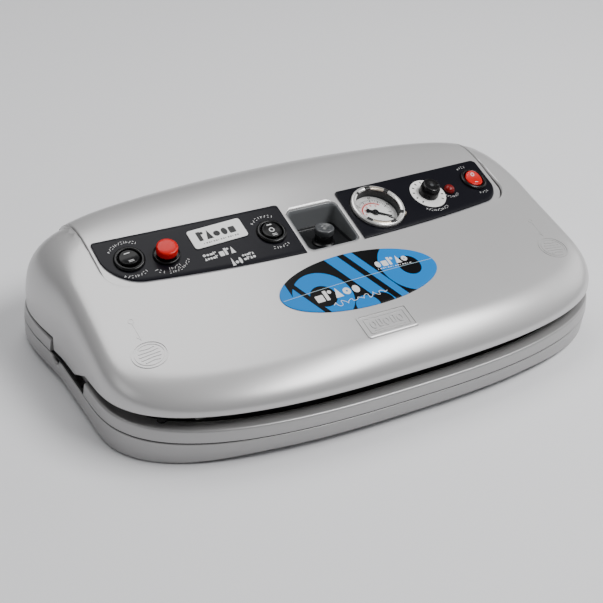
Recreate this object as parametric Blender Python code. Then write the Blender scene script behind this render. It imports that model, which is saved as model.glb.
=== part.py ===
"""Vacuum chamber sealer: two-part base, fixed rear housing with two control
panels, and a sprung lid hinged beside the housing.

Millimetres are used throughout and turned into metres as meshes are made.
X runs along the seal bar, -Y is the operator's side, Z is up.
"""
import math

import bmesh
import bpy
from mathutils import Matrix, Vector

MM = 0.001

# ---------------------------------------------------------------- dimensions
HALF_W = 221.5          # half width at the parting line
Y_FRONT = -139.0
Y_FRONT_MID = -42.0     # the front curve runs out into the straight sides here
Y_REAR = 139.0
Y_REAR_MID = 62.0
REAR_SPREAD = 4.5       # extra half width at the rear
PLAN_POWER = 2.7        # squareness of the outline at the front
REAR_POWER = 2.9
Z_SHELL = 4.0           # underside of the lower shell, feet below it
Z_PART = 20.9           # parting line between lower shell and rim frame
Z_RIM = 31.7            # top of the rim frame
Z_LID = 32.3            # lower edge of the closed lid
Z_WALL = 34.5           # where the lid side starts to roll over
SKIN = 3.0              # wall of the lid and rear housing
ROLL_FRONT = 26.0
ROLL_SIDE_FRONT = 23.0
ROLL_SIDE_REAR = 58.0
ROLL_REAR = 66.0
SIDE_POWER = 1.0        # squareness of the side roll above a plain ellipse

Y_PANEL = 36.6          # rear edge of the panels on the centre line
Z_PANEL = 102.0
SLOPE = 0.30
CROWN = 3.17e-4         # drop of the top with the square of x
Y_SLOPE_END = 44.0
Y_CREST = 80.0

HOUSING_HALF = 184.4    # half width of the fixed rear housing
SEAM_Y = -18.8          # front of the housing on the centre line
SEAM_ARC = 6.3e-4
SEAM_CORNER = 16.0
SEAM_GAP = 1.0

PANEL_HALF = 179.0
PANEL_FRONT = -15.4
PANEL_FRONT_ARC = 6.3e-4
PANEL_BACK_ARC = 3.95e-4
STRIP_OUT = 26.9        # inner ends of the panels
WELL_HALF = 23.8
WELL_FRONT = -14.0
WELL_BACK = 30.5
WELL_FLOOR = 79.0
PANEL_LIFT = 0.40
PANEL_T = 1.0

HINGE_Y = 70.0
HINGE_Z = 75.0
LID_RAISE = math.radians(3.07)   # resting height of the sprung lid
CHEEK_REAR = 28.8
CHEEK_FRONT = -8.0
CHEEK_TOP_FRONT = -28.0
Z_CHEEK = 21.5

MODE_XY = (-160.5, 24.5)
START_XY = (-132.5, 18.5)
PLATE_XY = (-86.6, 23.9)
SOURCE_XY = (-44.8, 12.3)
GAUGE_XY = (54.6, 12.5)
TIMER_XY = (108.8, 17.7)
LAMP_XY = (131.4, 18.5)
POWER_XY = (162.6, 26.3)
POST_XY = (-0.5, 4.0)
BADGE_XY = (-3.4, -57.0)
BADGE_HALF = (70.0, 27.0)

DECK_Z = (27.4, 30.3)
TRAY_Y = (-86.0, -34.0)
TRAY_HALF = 164.0
SEAL_Y = -98.5
SPRING_XY = (203.0, -70.0)

# ------------------------------------------------------------------ materials
MATERIALS = {
    "silver_paint": ((0.52, 0.52, 0.515, 1), 0.34, 0.25),
    "black_panel": ((0.010, 0.010, 0.014, 1), 0.38, 0.0),
    "black_plastic": ((0.012, 0.012, 0.012, 1), 0.30, 0.0),
    "grey_cup": ((0.060, 0.061, 0.062, 1), 0.42, 0.0),
    "white_plastic": ((0.80, 0.80, 0.79, 1), 0.40, 0.0),
    "red_plastic": ((0.60, 0.012, 0.008, 1), 0.25, 0.0),
    "dark_red": ((0.20, 0.004, 0.003, 1), 0.22, 0.0),
    "chrome": ((0.75, 0.75, 0.74, 1), 0.18, 1.0),
    "steel": ((0.55, 0.55, 0.54, 1), 0.30, 1.0),
    "rubber": ((0.020, 0.020, 0.020, 1), 0.70, 0.0),
    "white_silicone": ((0.62, 0.62, 0.60, 1), 0.60, 0.0),
    "badge_blue": ((0.005, 0.26, 0.62, 1), 0.30, 0.0),
    "tape_brown": ((0.30, 0.16, 0.07, 1), 0.55, 0.0),
    "copper": ((0.55, 0.22, 0.10, 1), 0.35, 1.0),
    "board_green": ((0.01, 0.10, 0.035, 1), 0.45, 0.0),
    "cast_grey": ((0.22, 0.22, 0.23, 1), 0.50, 0.3),
    "clear_window": ((0.92, 0.94, 0.95, 1), 0.05, 0.0),
    "blue_hose": ((0.03, 0.10, 0.35, 1), 0.45, 0.0),
}


def clear_scene():
    for item in list(bpy.data.objects):
        bpy.data.objects.remove(item, do_unlink=True)
    for block in list(bpy.data.meshes):
        bpy.data.meshes.remove(block)


def material(obj_name, kind):
    colour, rough, metal = MATERIALS[kind]
    mat = bpy.data.materials.new(obj_name + "_" + kind)
    mat.use_nodes = True
    shader = mat.node_tree.nodes["Principled BSDF"]
    shader.inputs["Base Color"].default_value = colour
    shader.inputs["Roughness"].default_value = rough
    shader.inputs["Metallic"].default_value = metal
    mat.diffuse_color = colour
    mat.roughness = rough
    mat.metallic = metal
    if kind == "clear_window":
        shader.inputs["Transmission Weight"].default_value = 1.0
        shader.inputs["IOR"].default_value = 1.05
    return mat


def add_mesh(name, verts, faces, kind, frame=None, smooth_angle=35.0):
    """One named object. Vertices are in mm, in the frame given (or the world)."""
    mesh = bpy.data.meshes.new(name)
    mesh.from_pydata([tuple(c * MM for c in v) for v in verts], [], faces)
    mesh.validate()
    work = bmesh.new()
    work.from_mesh(mesh)
    bmesh.ops.remove_doubles(work, verts=work.verts, dist=1e-7)
    bmesh.ops.recalc_face_normals(work, faces=work.faces)
    work.to_mesh(mesh)
    work.free()
    obj = bpy.data.objects.new(name, mesh)
    bpy.context.scene.collection.objects.link(obj)
    if kind is not None:
        mesh.materials.append(material(name, kind))
    if frame is not None:
        obj.matrix_world = frame
    shade(obj, smooth_angle)
    return obj


def shade(obj, angle):
    mesh = obj.data
    for poly in mesh.polygons:
        poly.use_smooth = True
    work = bmesh.new()
    work.from_mesh(mesh)
    limit = math.radians(angle)
    for edge in work.edges:
        if len(edge.link_faces) == 2:
            edge.smooth = edge.calc_face_angle(0.0) < limit
    work.to_mesh(mesh)
    work.free()


def boolean(obj, cutter, operation, angle=35.0):
    """Apply one exact boolean and drop the cutter."""
    mod = obj.modifiers.new("cut", "BOOLEAN")
    mod.operation = operation
    mod.solver = "EXACT"
    mod.object = cutter
    bpy.context.view_layer.update()
    graph = bpy.context.evaluated_depsgraph_get()
    mesh = bpy.data.meshes.new_from_object(obj.evaluated_get(graph))
    obj.modifiers.remove(mod)
    old = obj.data
    keep = old.materials[0] if old.materials else None
    mesh.materials.clear()
    if keep is not None:
        mesh.materials.append(keep)
    obj.data = mesh
    bpy.data.meshes.remove(old)
    bpy.data.objects.remove(cutter, do_unlink=True)
    work = bmesh.new()
    work.from_mesh(mesh)
    bmesh.ops.remove_doubles(work, verts=work.verts, dist=2e-6)
    bmesh.ops.dissolve_degenerate(work, edges=work.edges, dist=2e-6)
    bmesh.ops.triangulate(work, faces=[f for f in work.faces if len(f.verts) > 4])
    bmesh.ops.recalc_face_normals(work, faces=work.faces)
    work.to_mesh(mesh)
    work.free()
    mesh.name = obj.name
    shade(obj, angle)


# ------------------------------------------------------------ plan and skin
def smooth_step(a, b, t):
    t = min(1.0, max(0.0, (t - a) / (b - a)))
    return t * t * (3.0 - 2.0 * t)


def squircle(a, b, power, count):
    """Quarter of a rounded oblong from (0, b) to (a, 0), evenly spaced."""
    dense = []
    for i in range(401):
        t = math.pi / 2 * i / 400
        dense.append((a * math.sin(t) ** (2 / power), b * math.cos(t) ** (2 / power)))
    run = [0.0]
    for p, q in zip(dense, dense[1:]):
        run.append(run[-1] + math.hypot(q[0] - p[0], q[1] - p[1]))
    out = []
    k = 0
    for i in range(count + 1):
        goal = run[-1] * i / count
        while k < 399 and run[k + 1] < goal:
            k += 1
        f = (goal - run[k]) / (run[k + 1] - run[k])
        p, q = dense[k], dense[k + 1]
        out.append((p[0] + (q[0] - p[0]) * f, p[1] + (q[1] - p[1]) * f))
    return out


def half_width(y):
    """The sides splay a little towards the rear."""
    return HALF_W + REAR_SPREAD * smooth_step(10.0, Y_REAR_MID, y)


def half_plan():
    """Right half of the body outline, from the front centre to the rear centre."""
    front = squircle(HALF_W, Y_FRONT_MID - Y_FRONT, PLAN_POWER, 20)
    pts = [(x, Y_FRONT_MID - d) for x, d in front]
    for y in (CHEEK_TOP_FRONT - 1.0, CHEEK_TOP_FRONT, CHEEK_FRONT, 10.0, CHEEK_REAR,
              CHEEK_REAR + 0.6, CHEEK_REAR + 1.4, CHEEK_REAR + 2.2, 42.0, 53.0):
        pts.append((half_width(y), y))
    rear = squircle(HALF_W + REAR_SPREAD, Y_REAR - Y_REAR_MID, REAR_POWER, 16)
    pts += [(x, Y_REAR_MID + d) for x, d in reversed(rear)]
    return pts


def full_plan():
    """Closed outline as (x, y, nx, ny)."""
    right = half_plan()
    pts = right + [(-x, y) for x, y in reversed(right[1:-1])]
    out = []
    count = len(pts)
    for i, (x, y) in enumerate(pts):
        xa, ya = pts[i - 1]
        xb, yb = pts[(i + 1) % count]
        tx, ty = xb - xa, yb - ya
        length = math.hypot(tx, ty)
        out.append((x, y, ty / length, -tx / length))
    return out


PLAN = full_plan()


def ring(inset, z, across=None):
    """Plan shrunk by an inset (or by inset along Y and across along X)."""
    verts = []
    for x, y, nx, ny in PLAN:
        gap_y = inset(x, y, nx, ny) if callable(inset) else inset
        gap_x = across(x, y, nx, ny) if across else gap_y
        half = half_width(y) if Y_FRONT_MID < y < Y_REAR_MID else None
        if half is None:
            half = HALF_W if y <= Y_FRONT_MID else HALF_W + REAR_SPREAD
        px = x * (half - gap_x) / half
        py = y
        if y <= Y_FRONT_MID:
            depth = Y_FRONT_MID - Y_FRONT
            py = Y_FRONT_MID + (y - Y_FRONT_MID) * (depth - gap_y) / depth
        elif y >= Y_REAR_MID:
            depth = Y_REAR - Y_REAR_MID
            py = Y_REAR_MID + (y - Y_REAR_MID) * (depth - gap_y) / depth
        verts.append((px, py, z(px, py, y) if callable(z) else z))
    return verts


def loft(rings, first=None, last=None, wrap=False):
    """Skin a list of equal rings; first and last are fan centres."""
    verts = []
    faces = []
    count = len(rings[0])
    for item in rings:
        verts.extend(item)
    pairs = [(i, i + 1) for i in range(len(rings) - 1)]
    if wrap:
        pairs.append((len(rings) - 1, 0))
    for a, b in pairs:
        for i in range(count):
            j = (i + 1) % count
            faces.append((a * count + i, a * count + j, b * count + j, b * count + i))
    if first is not None:
        verts.append(first)
        k = len(verts) - 1
        faces.extend((k, (i + 1) % count, i) for i in range(count))
    if last is not None:
        verts.append(last)
        k = len(verts) - 1
        base = (len(rings) - 1) * count
        faces.extend((k, base + i, base + (i + 1) % count) for i in range(count))
    return verts, faces


def top_height(x, y):
    """The sloping, slightly crowned top before its edges roll over."""
    rise = SLOPE * (min(y, Y_SLOPE_END) - Y_PANEL)
    if y > Y_SLOPE_END:
        run = min(y, Y_CREST) - Y_SLOPE_END
        span = Y_CREST - Y_SLOPE_END
        rise += SLOPE * (run - run * run / (2.0 * span))
    return Z_PANEL + rise - CROWN * x * x


LID_IN_SIDE = 1.2
LID_IN_FRONT = 5.5
LID_IN_REAR = 1.2


def side_roll(y):
    return ROLL_SIDE_FRONT + (ROLL_SIDE_REAR - ROLL_SIDE_FRONT) * smooth_step(15.0, 80.0, y)


def end_roll(y):
    return ROLL_FRONT if y < 0.0 else ROLL_REAR


def skin(x, y):
    """Outer surface height over the panels, side roll included."""
    height = top_height(x, y)
    edge = half_width(y) - LID_IN_SIDE - abs(x)
    width = side_roll(y)
    if edge < width:
        power = 2.0 + SIDE_POWER
        c = max(0.0, 1.0 - edge / width)
        height = Z_WALL + (height - Z_WALL) * (1.0 - c ** power) ** (1.0 / power)
    return height


def surface_frame(x, y, lift=0.0):
    """World frame on the panel surface: local z is the outward normal."""
    step = 0.5
    dx = (skin(x + step, y) - skin(x - step, y)) / (2 * step)
    dy = (skin(x, y + step) - skin(x, y - step)) / (2 * step)
    normal = Vector((-dx, -dy, 1.0)).normalized()
    axis_x = Vector((1.0, 0.0, dx)).normalized()
    axis_y = normal.cross(axis_x).normalized()
    origin = Vector((x, y, skin(x, y))) + normal * lift
    frame = Matrix((axis_x, axis_y, normal)).transposed().to_4x4()
    frame.translation = origin * MM
    return frame


def lid_low(y):
    """Lower edge of the closed lid, with the two side cheeks reaching down."""
    stops = [(-200.0, Z_LID), (CHEEK_TOP_FRONT - 1.0, Z_LID), (CHEEK_FRONT, Z_CHEEK),
             (CHEEK_REAR, Z_CHEEK), (CHEEK_REAR + 0.6, 33.0), (HINGE_Y, 33.0),
             (200.0, 33.0 + 11.3)]
    for (ya, za), (yb, zb) in zip(stops, stops[1:]):
        if y <= yb:
            return za + (zb - za) * (y - ya) / (yb - ya)
    return stops[-1][1]


def upper_body(name, thick, outer_steps, inner_steps, scales, inner_scales, low):
    """The whole upper skin as one thick shell, open below; low(y) is its lower edge."""
    def wall_top(py):
        return max(Z_WALL, low(py) + 1.0)

    def outer(angle, skin_t=0.0):
        cosa, sina = max(0.0, math.cos(angle)), math.sin(angle)

        def bend(nx):
            return 2.0 / (2.0 + SIDE_POWER * nx * nx)

        def along(x, y, nx, ny):
            start = LID_IN_FRONT if y < 0.0 else LID_IN_REAR
            return start + skin_t + (end_roll(y) - skin_t) * (1.0 - cosa ** bend(nx))

        def across(x, y, nx, ny):
            return LID_IN_SIDE + skin_t + (side_roll(y) - skin_t) * (1.0 - cosa ** bend(nx))

        verts = []
        for (x, y, nx, ny), (px, py, z) in zip(PLAN, ring(along, 0.0, across)):
            base = wall_top(y)
            verts.append((px, py, base + (top_height(px, py) - skin_t - base)
                          * sina ** bend(nx)))
        return verts

    def inner(angle):
        return outer(angle, thick)

    def edge_ring(skin_t):
        def along(x, y, nx, ny):
            return skin_t + (LID_IN_FRONT if y < 0.0 else LID_IN_REAR)
        return ring(along, lambda px, py, y: low(y),
                    lambda x, y, nx, ny: LID_IN_SIDE + skin_t)

    rings = []
    centre_y = -20.0
    for s in reversed(inner_scales):
        top = inner(math.pi / 2)
        rings.append([(x * s, centre_y + (y - centre_y) * s,
                       top_height(x * s, centre_y + (y - centre_y) * s) - thick)
                      for x, y, z in top])
    for i in range(inner_steps, -1, -1):
        rings.append(inner(math.pi / 2 * i / inner_steps))
    rings.append(edge_ring(thick - 0.4))
    rings.append(edge_ring(0.0))
    for i in range(0, outer_steps + 1):
        rings.append(outer(math.pi / 2 * i / outer_steps))
    for s in scales:
        top = outer(math.pi / 2)
        rings.append([(x * s, centre_y + (y - centre_y) * s,
                       top_height(x * s, centre_y + (y - centre_y) * s))
                      for x, y, z in top])
    first = (0.0, centre_y, top_height(0.0, centre_y) - thick)
    last = (0.0, centre_y, top_height(0.0, centre_y))
    verts, faces = loft(rings, first, last)
    return add_mesh(name, verts, faces, "silver_paint")


def prism(name, outline, z0, z1):
    """Straight extrusion of a closed outline."""
    count = len(outline)
    verts = [(x, y, z0) for x, y in outline] + [(x, y, z1) for x, y in outline]
    faces = [tuple(reversed(range(count))), tuple(range(count, 2 * count))]
    for i in range(count):
        j = (i + 1) % count
        faces.append((i, j, count + j, count + i))
    return add_mesh(name, verts, faces, None)


def housing_outline(grow):
    """Plan of the fixed housing: straight sides, rounded front corners, bowed front."""
    half = HOUSING_HALF + grow
    radius = SEAM_CORNER + grow
    front = []
    stops = [half - radius * (1.0 - math.sin(math.radians(a))) for a in (75, 60, 45, 30, 15, 0)]
    xs = [half] + stops
    inner = half - radius
    for i in range(1, 15):
        xs.append(inner * (1.0 - i / 14.0))
    for x in xs:
        depth = max(0.0, x - inner)
        lift = radius - math.sqrt(max(0.0, radius * radius - depth * depth))
        front.append((x, SEAM_Y - grow + SEAM_ARC * x * x + lift))
    right = [(half, 160.0)] + front
    return right + [(-x, y) for x, y in reversed(right[:-1])]


# ------------------------------------------------------------- small helpers
def lathe(name, profile, kind, frame=None, segments=32, smooth_angle=35.0):
    """Revolve a closed (radius, z) profile about local z."""
    verts = []
    faces = []
    index = []
    for r, z in profile:
        if r < 1e-6:
            verts.append((0.0, 0.0, z))
            index.append([len(verts) - 1] * segments)
        else:
            row = []
            for i in range(segments):
                a = 2 * math.pi * i / segments
                verts.append((r * math.cos(a), r * math.sin(a), z))
                row.append(len(verts) - 1)
            index.append(row)
    count = len(profile)
    closed = profile[0][0] > 1e-6 or profile[-1][0] > 1e-6
    pairs = [(i, i + 1) for i in range(count - 1)]
    if closed:
        pairs.append((count - 1, 0))
    for a, b in pairs:
        for i in range(segments):
            j = (i + 1) % segments
            quad = [index[a][i], index[a][j], index[b][j], index[b][i]]
            face = [v for k, v in enumerate(quad) if v not in quad[:k]]
            if len(face) >= 3:
                faces.append(tuple(face))
    return add_mesh(name, verts, faces, kind, frame, smooth_angle)


def rounded_rect(cx, cy, hx, hy, radius, steps=4):
    pts = []
    for sx, sy, start in ((1, -1, -90), (1, 1, 0), (-1, 1, 90), (-1, -1, 180)):
        for i in range(steps + 1):
            a = math.radians(start + 90.0 * i / steps)
            pts.append((cx + sx * (hx - radius) + radius * math.cos(a),
                        cy + sy * (hy - radius) + radius * math.sin(a)))
    return pts


def slab(name, outline, z0, z1, kind, frame=None, edge=0.0):
    """Plate from an outline, with a small chamfer on the top edge if asked."""
    cx = sum(p[0] for p in outline) / len(outline)
    cy = sum(p[1] for p in outline) / len(outline)
    rings = [[(x, y, z0) for x, y in outline]]
    if edge > 0.0:
        rings.append([(x, y, z1 - edge) for x, y in outline])
        span = max(math.hypot(x - cx, y - cy) for x, y in outline)
        k = 1.0 - edge / span
        rings.append([(cx + (x - cx) * k, cy + (y - cy) * k, z1) for x, y in outline])
    else:
        rings.append([(x, y, z1) for x, y in outline])
    verts, faces = loft(rings, (cx, cy, z0), (cx, cy, z1))
    return add_mesh(name, verts, faces, kind, frame, 30.0)


def box(name, x, y, z, kind, radius=1.5, edge=0.6, frame=None):
    outline = rounded_rect((x[0] + x[1]) / 2, (y[0] + y[1]) / 2,
                           (x[1] - x[0]) / 2, (y[1] - y[0]) / 2, radius)
    return slab(name, outline, z[0], z[1], kind, frame, edge)


def rect_band(name, outer, inner, z0, z1, kind, frame=None):
    """Closed band between two matching outlines."""
    rings = [[(x, y, z0) for x, y in outer], [(x, y, z1) for x, y in outer],
             [(x, y, z1) for x, y in inner], [(x, y, z0) for x, y in inner]]
    verts, faces = loft(rings, wrap=True)
    return add_mesh(name, verts, faces, kind, frame, 30.0)


def pan(name, cx, cy, hx, hy, radius, wall, z_floor, z_top, kind, draft=0.0, top=None):
    """Open-topped cup with a flat floor."""
    def rim(points, drop):
        return [(x, y, (top(x, y) if top else z_top) - drop) for x, y in points]

    outer_top = rounded_rect(cx, cy, hx, hy, radius)
    outer_low = rounded_rect(cx, cy, hx - draft, hy - draft, radius)
    inner_top = rounded_rect(cx, cy, hx - wall, hy - wall, max(0.5, radius - wall))
    inner_low = rounded_rect(cx, cy, hx - wall - draft, hy - wall - draft,
                             max(0.5, radius - wall))
    rings = [[(x, y, z_floor - wall) for x, y in outer_low], rim(outer_top, 0.0),
             rim(inner_top, 0.0), [(x, y, z_floor) for x, y in inner_low]]
    verts, faces = loft(rings, (cx, cy, z_floor - wall), (cx, cy, z_floor))
    return add_mesh(name, verts, faces, kind, None, 30.0)


def tube(name, path, radius, sides, kind):
    """Solid round bar swept along a path of points."""
    verts = []
    faces = []
    count = len(path)
    up = Vector((0, 0, 1))
    last_u = None
    for i, p in enumerate(path):
        a = Vector(path[max(0, i - 1)])
        b = Vector(path[min(count - 1, i + 1)])
        t = (b - a).normalized()
        if last_u is None:
            ref = up if abs(t.dot(up)) < 0.9 else Vector((1, 0, 0))
            u = t.cross(ref).normalized()
        else:
            u = (last_u - t * last_u.dot(t)).normalized()
        last_u = u
        v = t.cross(u)
        for k in range(sides):
            ang = 2 * math.pi * k / sides
            q = Vector(p) + (u * math.cos(ang) + v * math.sin(ang)) * radius
            verts.append(tuple(q))
    for i in range(count - 1):
        for k in range(sides):
            m = (k + 1) % sides
            faces.append((i * sides + k, i * sides + m, (i + 1) * sides + m, (i + 1) * sides + k))
    faces.append(tuple(reversed(range(sides))))
    faces.append(tuple((count - 1) * sides + k for k in range(sides)))
    return add_mesh(name, verts, faces, kind)


def raise_lid(obj):
    """Turn a part built with the lid closed to the resting, sprung-up position."""
    pivot = Vector((0.0, HINGE_Y * MM, HINGE_Z * MM))
    turn = (Matrix.Translation(pivot) @ Matrix.Rotation(-LID_RAISE, 4, "X")
            @ Matrix.Translation(-pivot))
    obj.data.transform(turn @ obj.matrix_world)
    obj.data.transform(Matrix.Translation(-pivot))
    obj.matrix_world = Matrix.Translation(pivot)


# ---------------------------------------------------------------------- base
def make_base():
    def draft(depth, front):
        return lambda x, y, nx, ny: depth + front * max(0.0, -ny) ** 4

    def skirt(lift):
        def height(px, py, y):
            corner = smooth_step(110.0, 195.0, abs(px)) * smooth_step(35.0, 75.0, -y)
            return Z_SHELL + 0.6 + lift - 4.4 * corner * (1.0 - lift / 16.0)
        return height

    rings = [ring(draft(8.0, 3.0), Z_SHELL), ring(draft(1.6, 3.6), skirt(0.0)),
             ring(draft(0.2, 3.0), skirt(1.6)), ring(0.0, Z_PART - 0.3),
             ring(2.6, Z_PART - 0.3), ring(draft(4.4, 3.0), Z_SHELL + 4.6),
             ring(draft(12.0, 3.0), Z_SHELL + 3.0)]
    verts, faces = loft(rings, (0, 0, Z_SHELL), (0, 0, Z_SHELL + 3.0))
    shell = add_mesh("base_lower_shell", verts, faces, "silver_paint")
    for side in (-1, 1):
        frame = Matrix.Translation((side * HALF_W * MM, 0.022, Z_PART * MM))
        frame = frame @ Matrix.Rotation(math.pi / 2, 4, "Y")
        cutter = lathe("notch", [(0, -9), (6.0, -9), (6.0, 9), (0, 9)], None, frame, 20)
        boolean(shell, cutter, "DIFFERENCE")

    def recess(depth):
        def gap(x, y, nx, ny):
            inside = abs(nx) > 0.98 and -29.5 < y < CHEEK_REAR + 1.8
            return max(depth, 7.4 + depth * 0.2) if inside else depth
        return gap
    rings = [ring(recess(0.0), Z_PART), ring(recess(0.5), Z_PART + 1.6),
             ring(recess(1.5), Z_RIM - 1.4), ring(recess(2.6), Z_RIM),
             ring(13.0, Z_RIM - 0.9), ring(13.4, Z_RIM - 3.2),
             ring(11.4, Z_RIM - 3.4), ring(11.0, Z_PART)]
    verts, faces = loft(rings, wrap=True)
    add_mesh("base_upper_frame", verts, faces, "silver_paint")

    edge = [(x - nx * 14.4, y - ny * 14.4) for x, y, nx, ny in PLAN]
    front = [p for p in edge if p[1] < -8.0]
    right = [p for p in front if p[0] >= 0]
    left = [p for p in front if p[0] < 0]
    right.sort(key=lambda p: (p[0] if p[1] < -100 else 1000 + p[1]))
    left.sort(key=lambda p: (-p[0] if p[1] < -100 else 1000 + p[1]))
    outline = [(207.4, -6.0)] + list(reversed(right)) + left + [(-207.4, -6.0)]
    outline = list(reversed(outline))
    deck = prism("chassis_deck", outline, DECK_Z[0], DECK_Z[1])
    deck.data.materials.append(material("chassis_deck", "black_plastic"))
    mid = (TRAY_Y[0] + TRAY_Y[1]) / 2
    half = (TRAY_Y[1] - TRAY_Y[0]) / 2
    hole = prism("hole", rounded_rect(0, mid, TRAY_HALF - 1.0, half - 1.0, 9.0), 20, 40)
    boolean(deck, hole, "DIFFERENCE", 30)
    tray = pan("vacuum_tray", 0, mid, TRAY_HALF - 1.5, half - 1.5, 8.6, 1.0,
               18.0, DECK_Z[1], "steel", 1.5)
    hole = lathe("hole", [(0, 10), (4.2, 10), (4.2, 25), (0, 25)], None,
                 Matrix.Translation((0.060, mid * MM, 0)), 20)
    boolean(tray, hole, "DIFFERENCE", 30)
    rect_band("base_gasket", rounded_rect(0, mid, TRAY_HALF + 6.5, half + 1.8, 12.0),
              rounded_rect(0, mid, TRAY_HALF + 1.0, half - 0.6, 10.0),
              DECK_Z[1] + 0.1, DECK_Z[1] + 5.2, "rubber")
    box("seal_bar", (-165, 165), (SEAL_Y - 4.6, SEAL_Y + 3.6), (DECK_Z[1] + 0.1, 34.6),
        "white_silicone", 1.0, 0.4)
    box("heat_strip", (-162, 162), (SEAL_Y - 2.0, SEAL_Y + 1.0), (34.68, 34.86),
        "steel", 0.5, 0.0)
    box("seal_tape", (-164, 164), (SEAL_Y - 4.0, SEAL_Y + 3.0), (34.95, 35.10),
        "tape_brown", 0.5, 0.0)
    lathe("suction_nozzle", [(2.4, 9.6), (4.0, 9.6), (4.0, 18.2), (7.0, 18.2), (7.0, 20.0),
                             (4.6, 21.0), (2.4, 21.0)], "black_plastic",
          Matrix.Translation((0.060, mid * MM, 0)), 20)
    lathe("bag_stop", [(0, 0.1), (3.6, 0.1), (3.6, 2.4), (2.4, 3.6), (0, 3.6)], "rubber",
          Matrix.Translation((-0.188, -0.094, 0.0314)), 16)
    for name, sx, sy in (("foot_front_left", -1, -1), ("foot_front_right", 1, -1),
                         ("foot_rear_left", -1, 1), ("foot_rear_right", 1, 1)):
        lathe(name, [(0, 0), (10.5, 0), (12.0, 1.2), (12.0, 3.9), (0, 3.9)], "rubber",
              Matrix.Translation((sx * 0.160, sy * 0.090, 0)), 24)


# ------------------------------------------------------- housing and controls
def control_cutters(name, depth_down, depth_up, extra):
    """One cutter holding a bore for every control, each along its own normal."""
    holes = [(MODE_XY, 10.4), (SOURCE_XY, 10.4), (POWER_XY, 10.4), (START_XY, 7.4),
             (GAUGE_XY, 20.9), (TIMER_XY, 4.2), (LAMP_XY, 3.6)]
    verts = []
    faces = []
    for (x, y), radius in holes:
        frame = surface_frame(x, y)
        base = len(verts)
        count = 28
        for z in (-depth_down, depth_up):
            for i in range(count):
                a = 2 * math.pi * i / count
                r = radius + extra
                p = frame @ Vector((r * math.cos(a) * MM, r * math.sin(a) * MM, z * MM))
                verts.append(tuple(c / MM for c in p))
        faces.append(tuple(reversed(range(base, base + count))))
        faces.append(tuple(range(base + count, base + 2 * count)))
        for i in range(count):
            j = (i + 1) % count
            faces.append((base + i, base + j, base + count + j, base + count + i))
    return add_mesh(name, verts, faces, None)


def panel(name, sign, x_out, corner, rear_corner, front_arc):
    """Half of the black control strip, following the crowned surface."""
    x_in = STRIP_OUT
    stops = []
    for a in (0, 15, 30, 45, 60, 75):
        stops.append(x_in + 5.0 * (1 - math.cos(math.radians(a))))
    for i in range(11):
        stops.append(x_in + 5.0 + (x_out - corner - x_in - 5.0) * i / 10.0)
    for a in (15, 30, 45, 60, 75, 90):
        stops.append(x_out - corner + corner * math.sin(math.radians(a)))
    rows = 5
    columns = []
    for x in stops:
        front = PANEL_FRONT + front_arc * x * x
        back = Y_PANEL + PANEL_BACK_ARC * x * x
        d = x_out - x
        if d < corner:
            front += corner - math.sqrt(max(0.0, corner ** 2 - (corner - d) ** 2))
        if d < rear_corner:
            back -= rear_corner - math.sqrt(max(0.0, rear_corner ** 2 - (rear_corner - d) ** 2))
        d = x - x_in
        if d < 3.0:
            back -= 3.0 - math.sqrt(max(0.0, 9.0 - (3.0 - d) ** 2))
        columns.append([(sign * x, front + (back - front) * r / (rows - 1)) for r in range(rows)])
    verts = []
    for lift in (PANEL_LIFT, PANEL_LIFT + PANEL_T):
        for col in columns:
            verts.extend((x, y, skin(x, y) + lift * 1.045) for x, y in col)
    n = len(columns)
    half = n * rows
    faces = []
    for c in range(n - 1):
        for r in range(rows - 1):
            a = c * rows + r
            faces.append((a, a + 1, a + rows + 1, a + rows))
            faces.append((half + a, half + a + rows, half + a + rows + 1, half + a + 1))
    for c in range(n - 1):
        for a, b in ((c * rows, (c + 1) * rows),
                     (c * rows + rows - 1, (c + 1) * rows + rows - 1)):
            faces.append((a, b, half + b, half + a))
    for r in range(rows - 1):
        for a in (r, (n - 1) * rows + r):
            faces.append((a, a + 1, half + a + 1, half + a))
    return add_mesh(name, verts, faces, "black_panel", None, 30.0)


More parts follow.
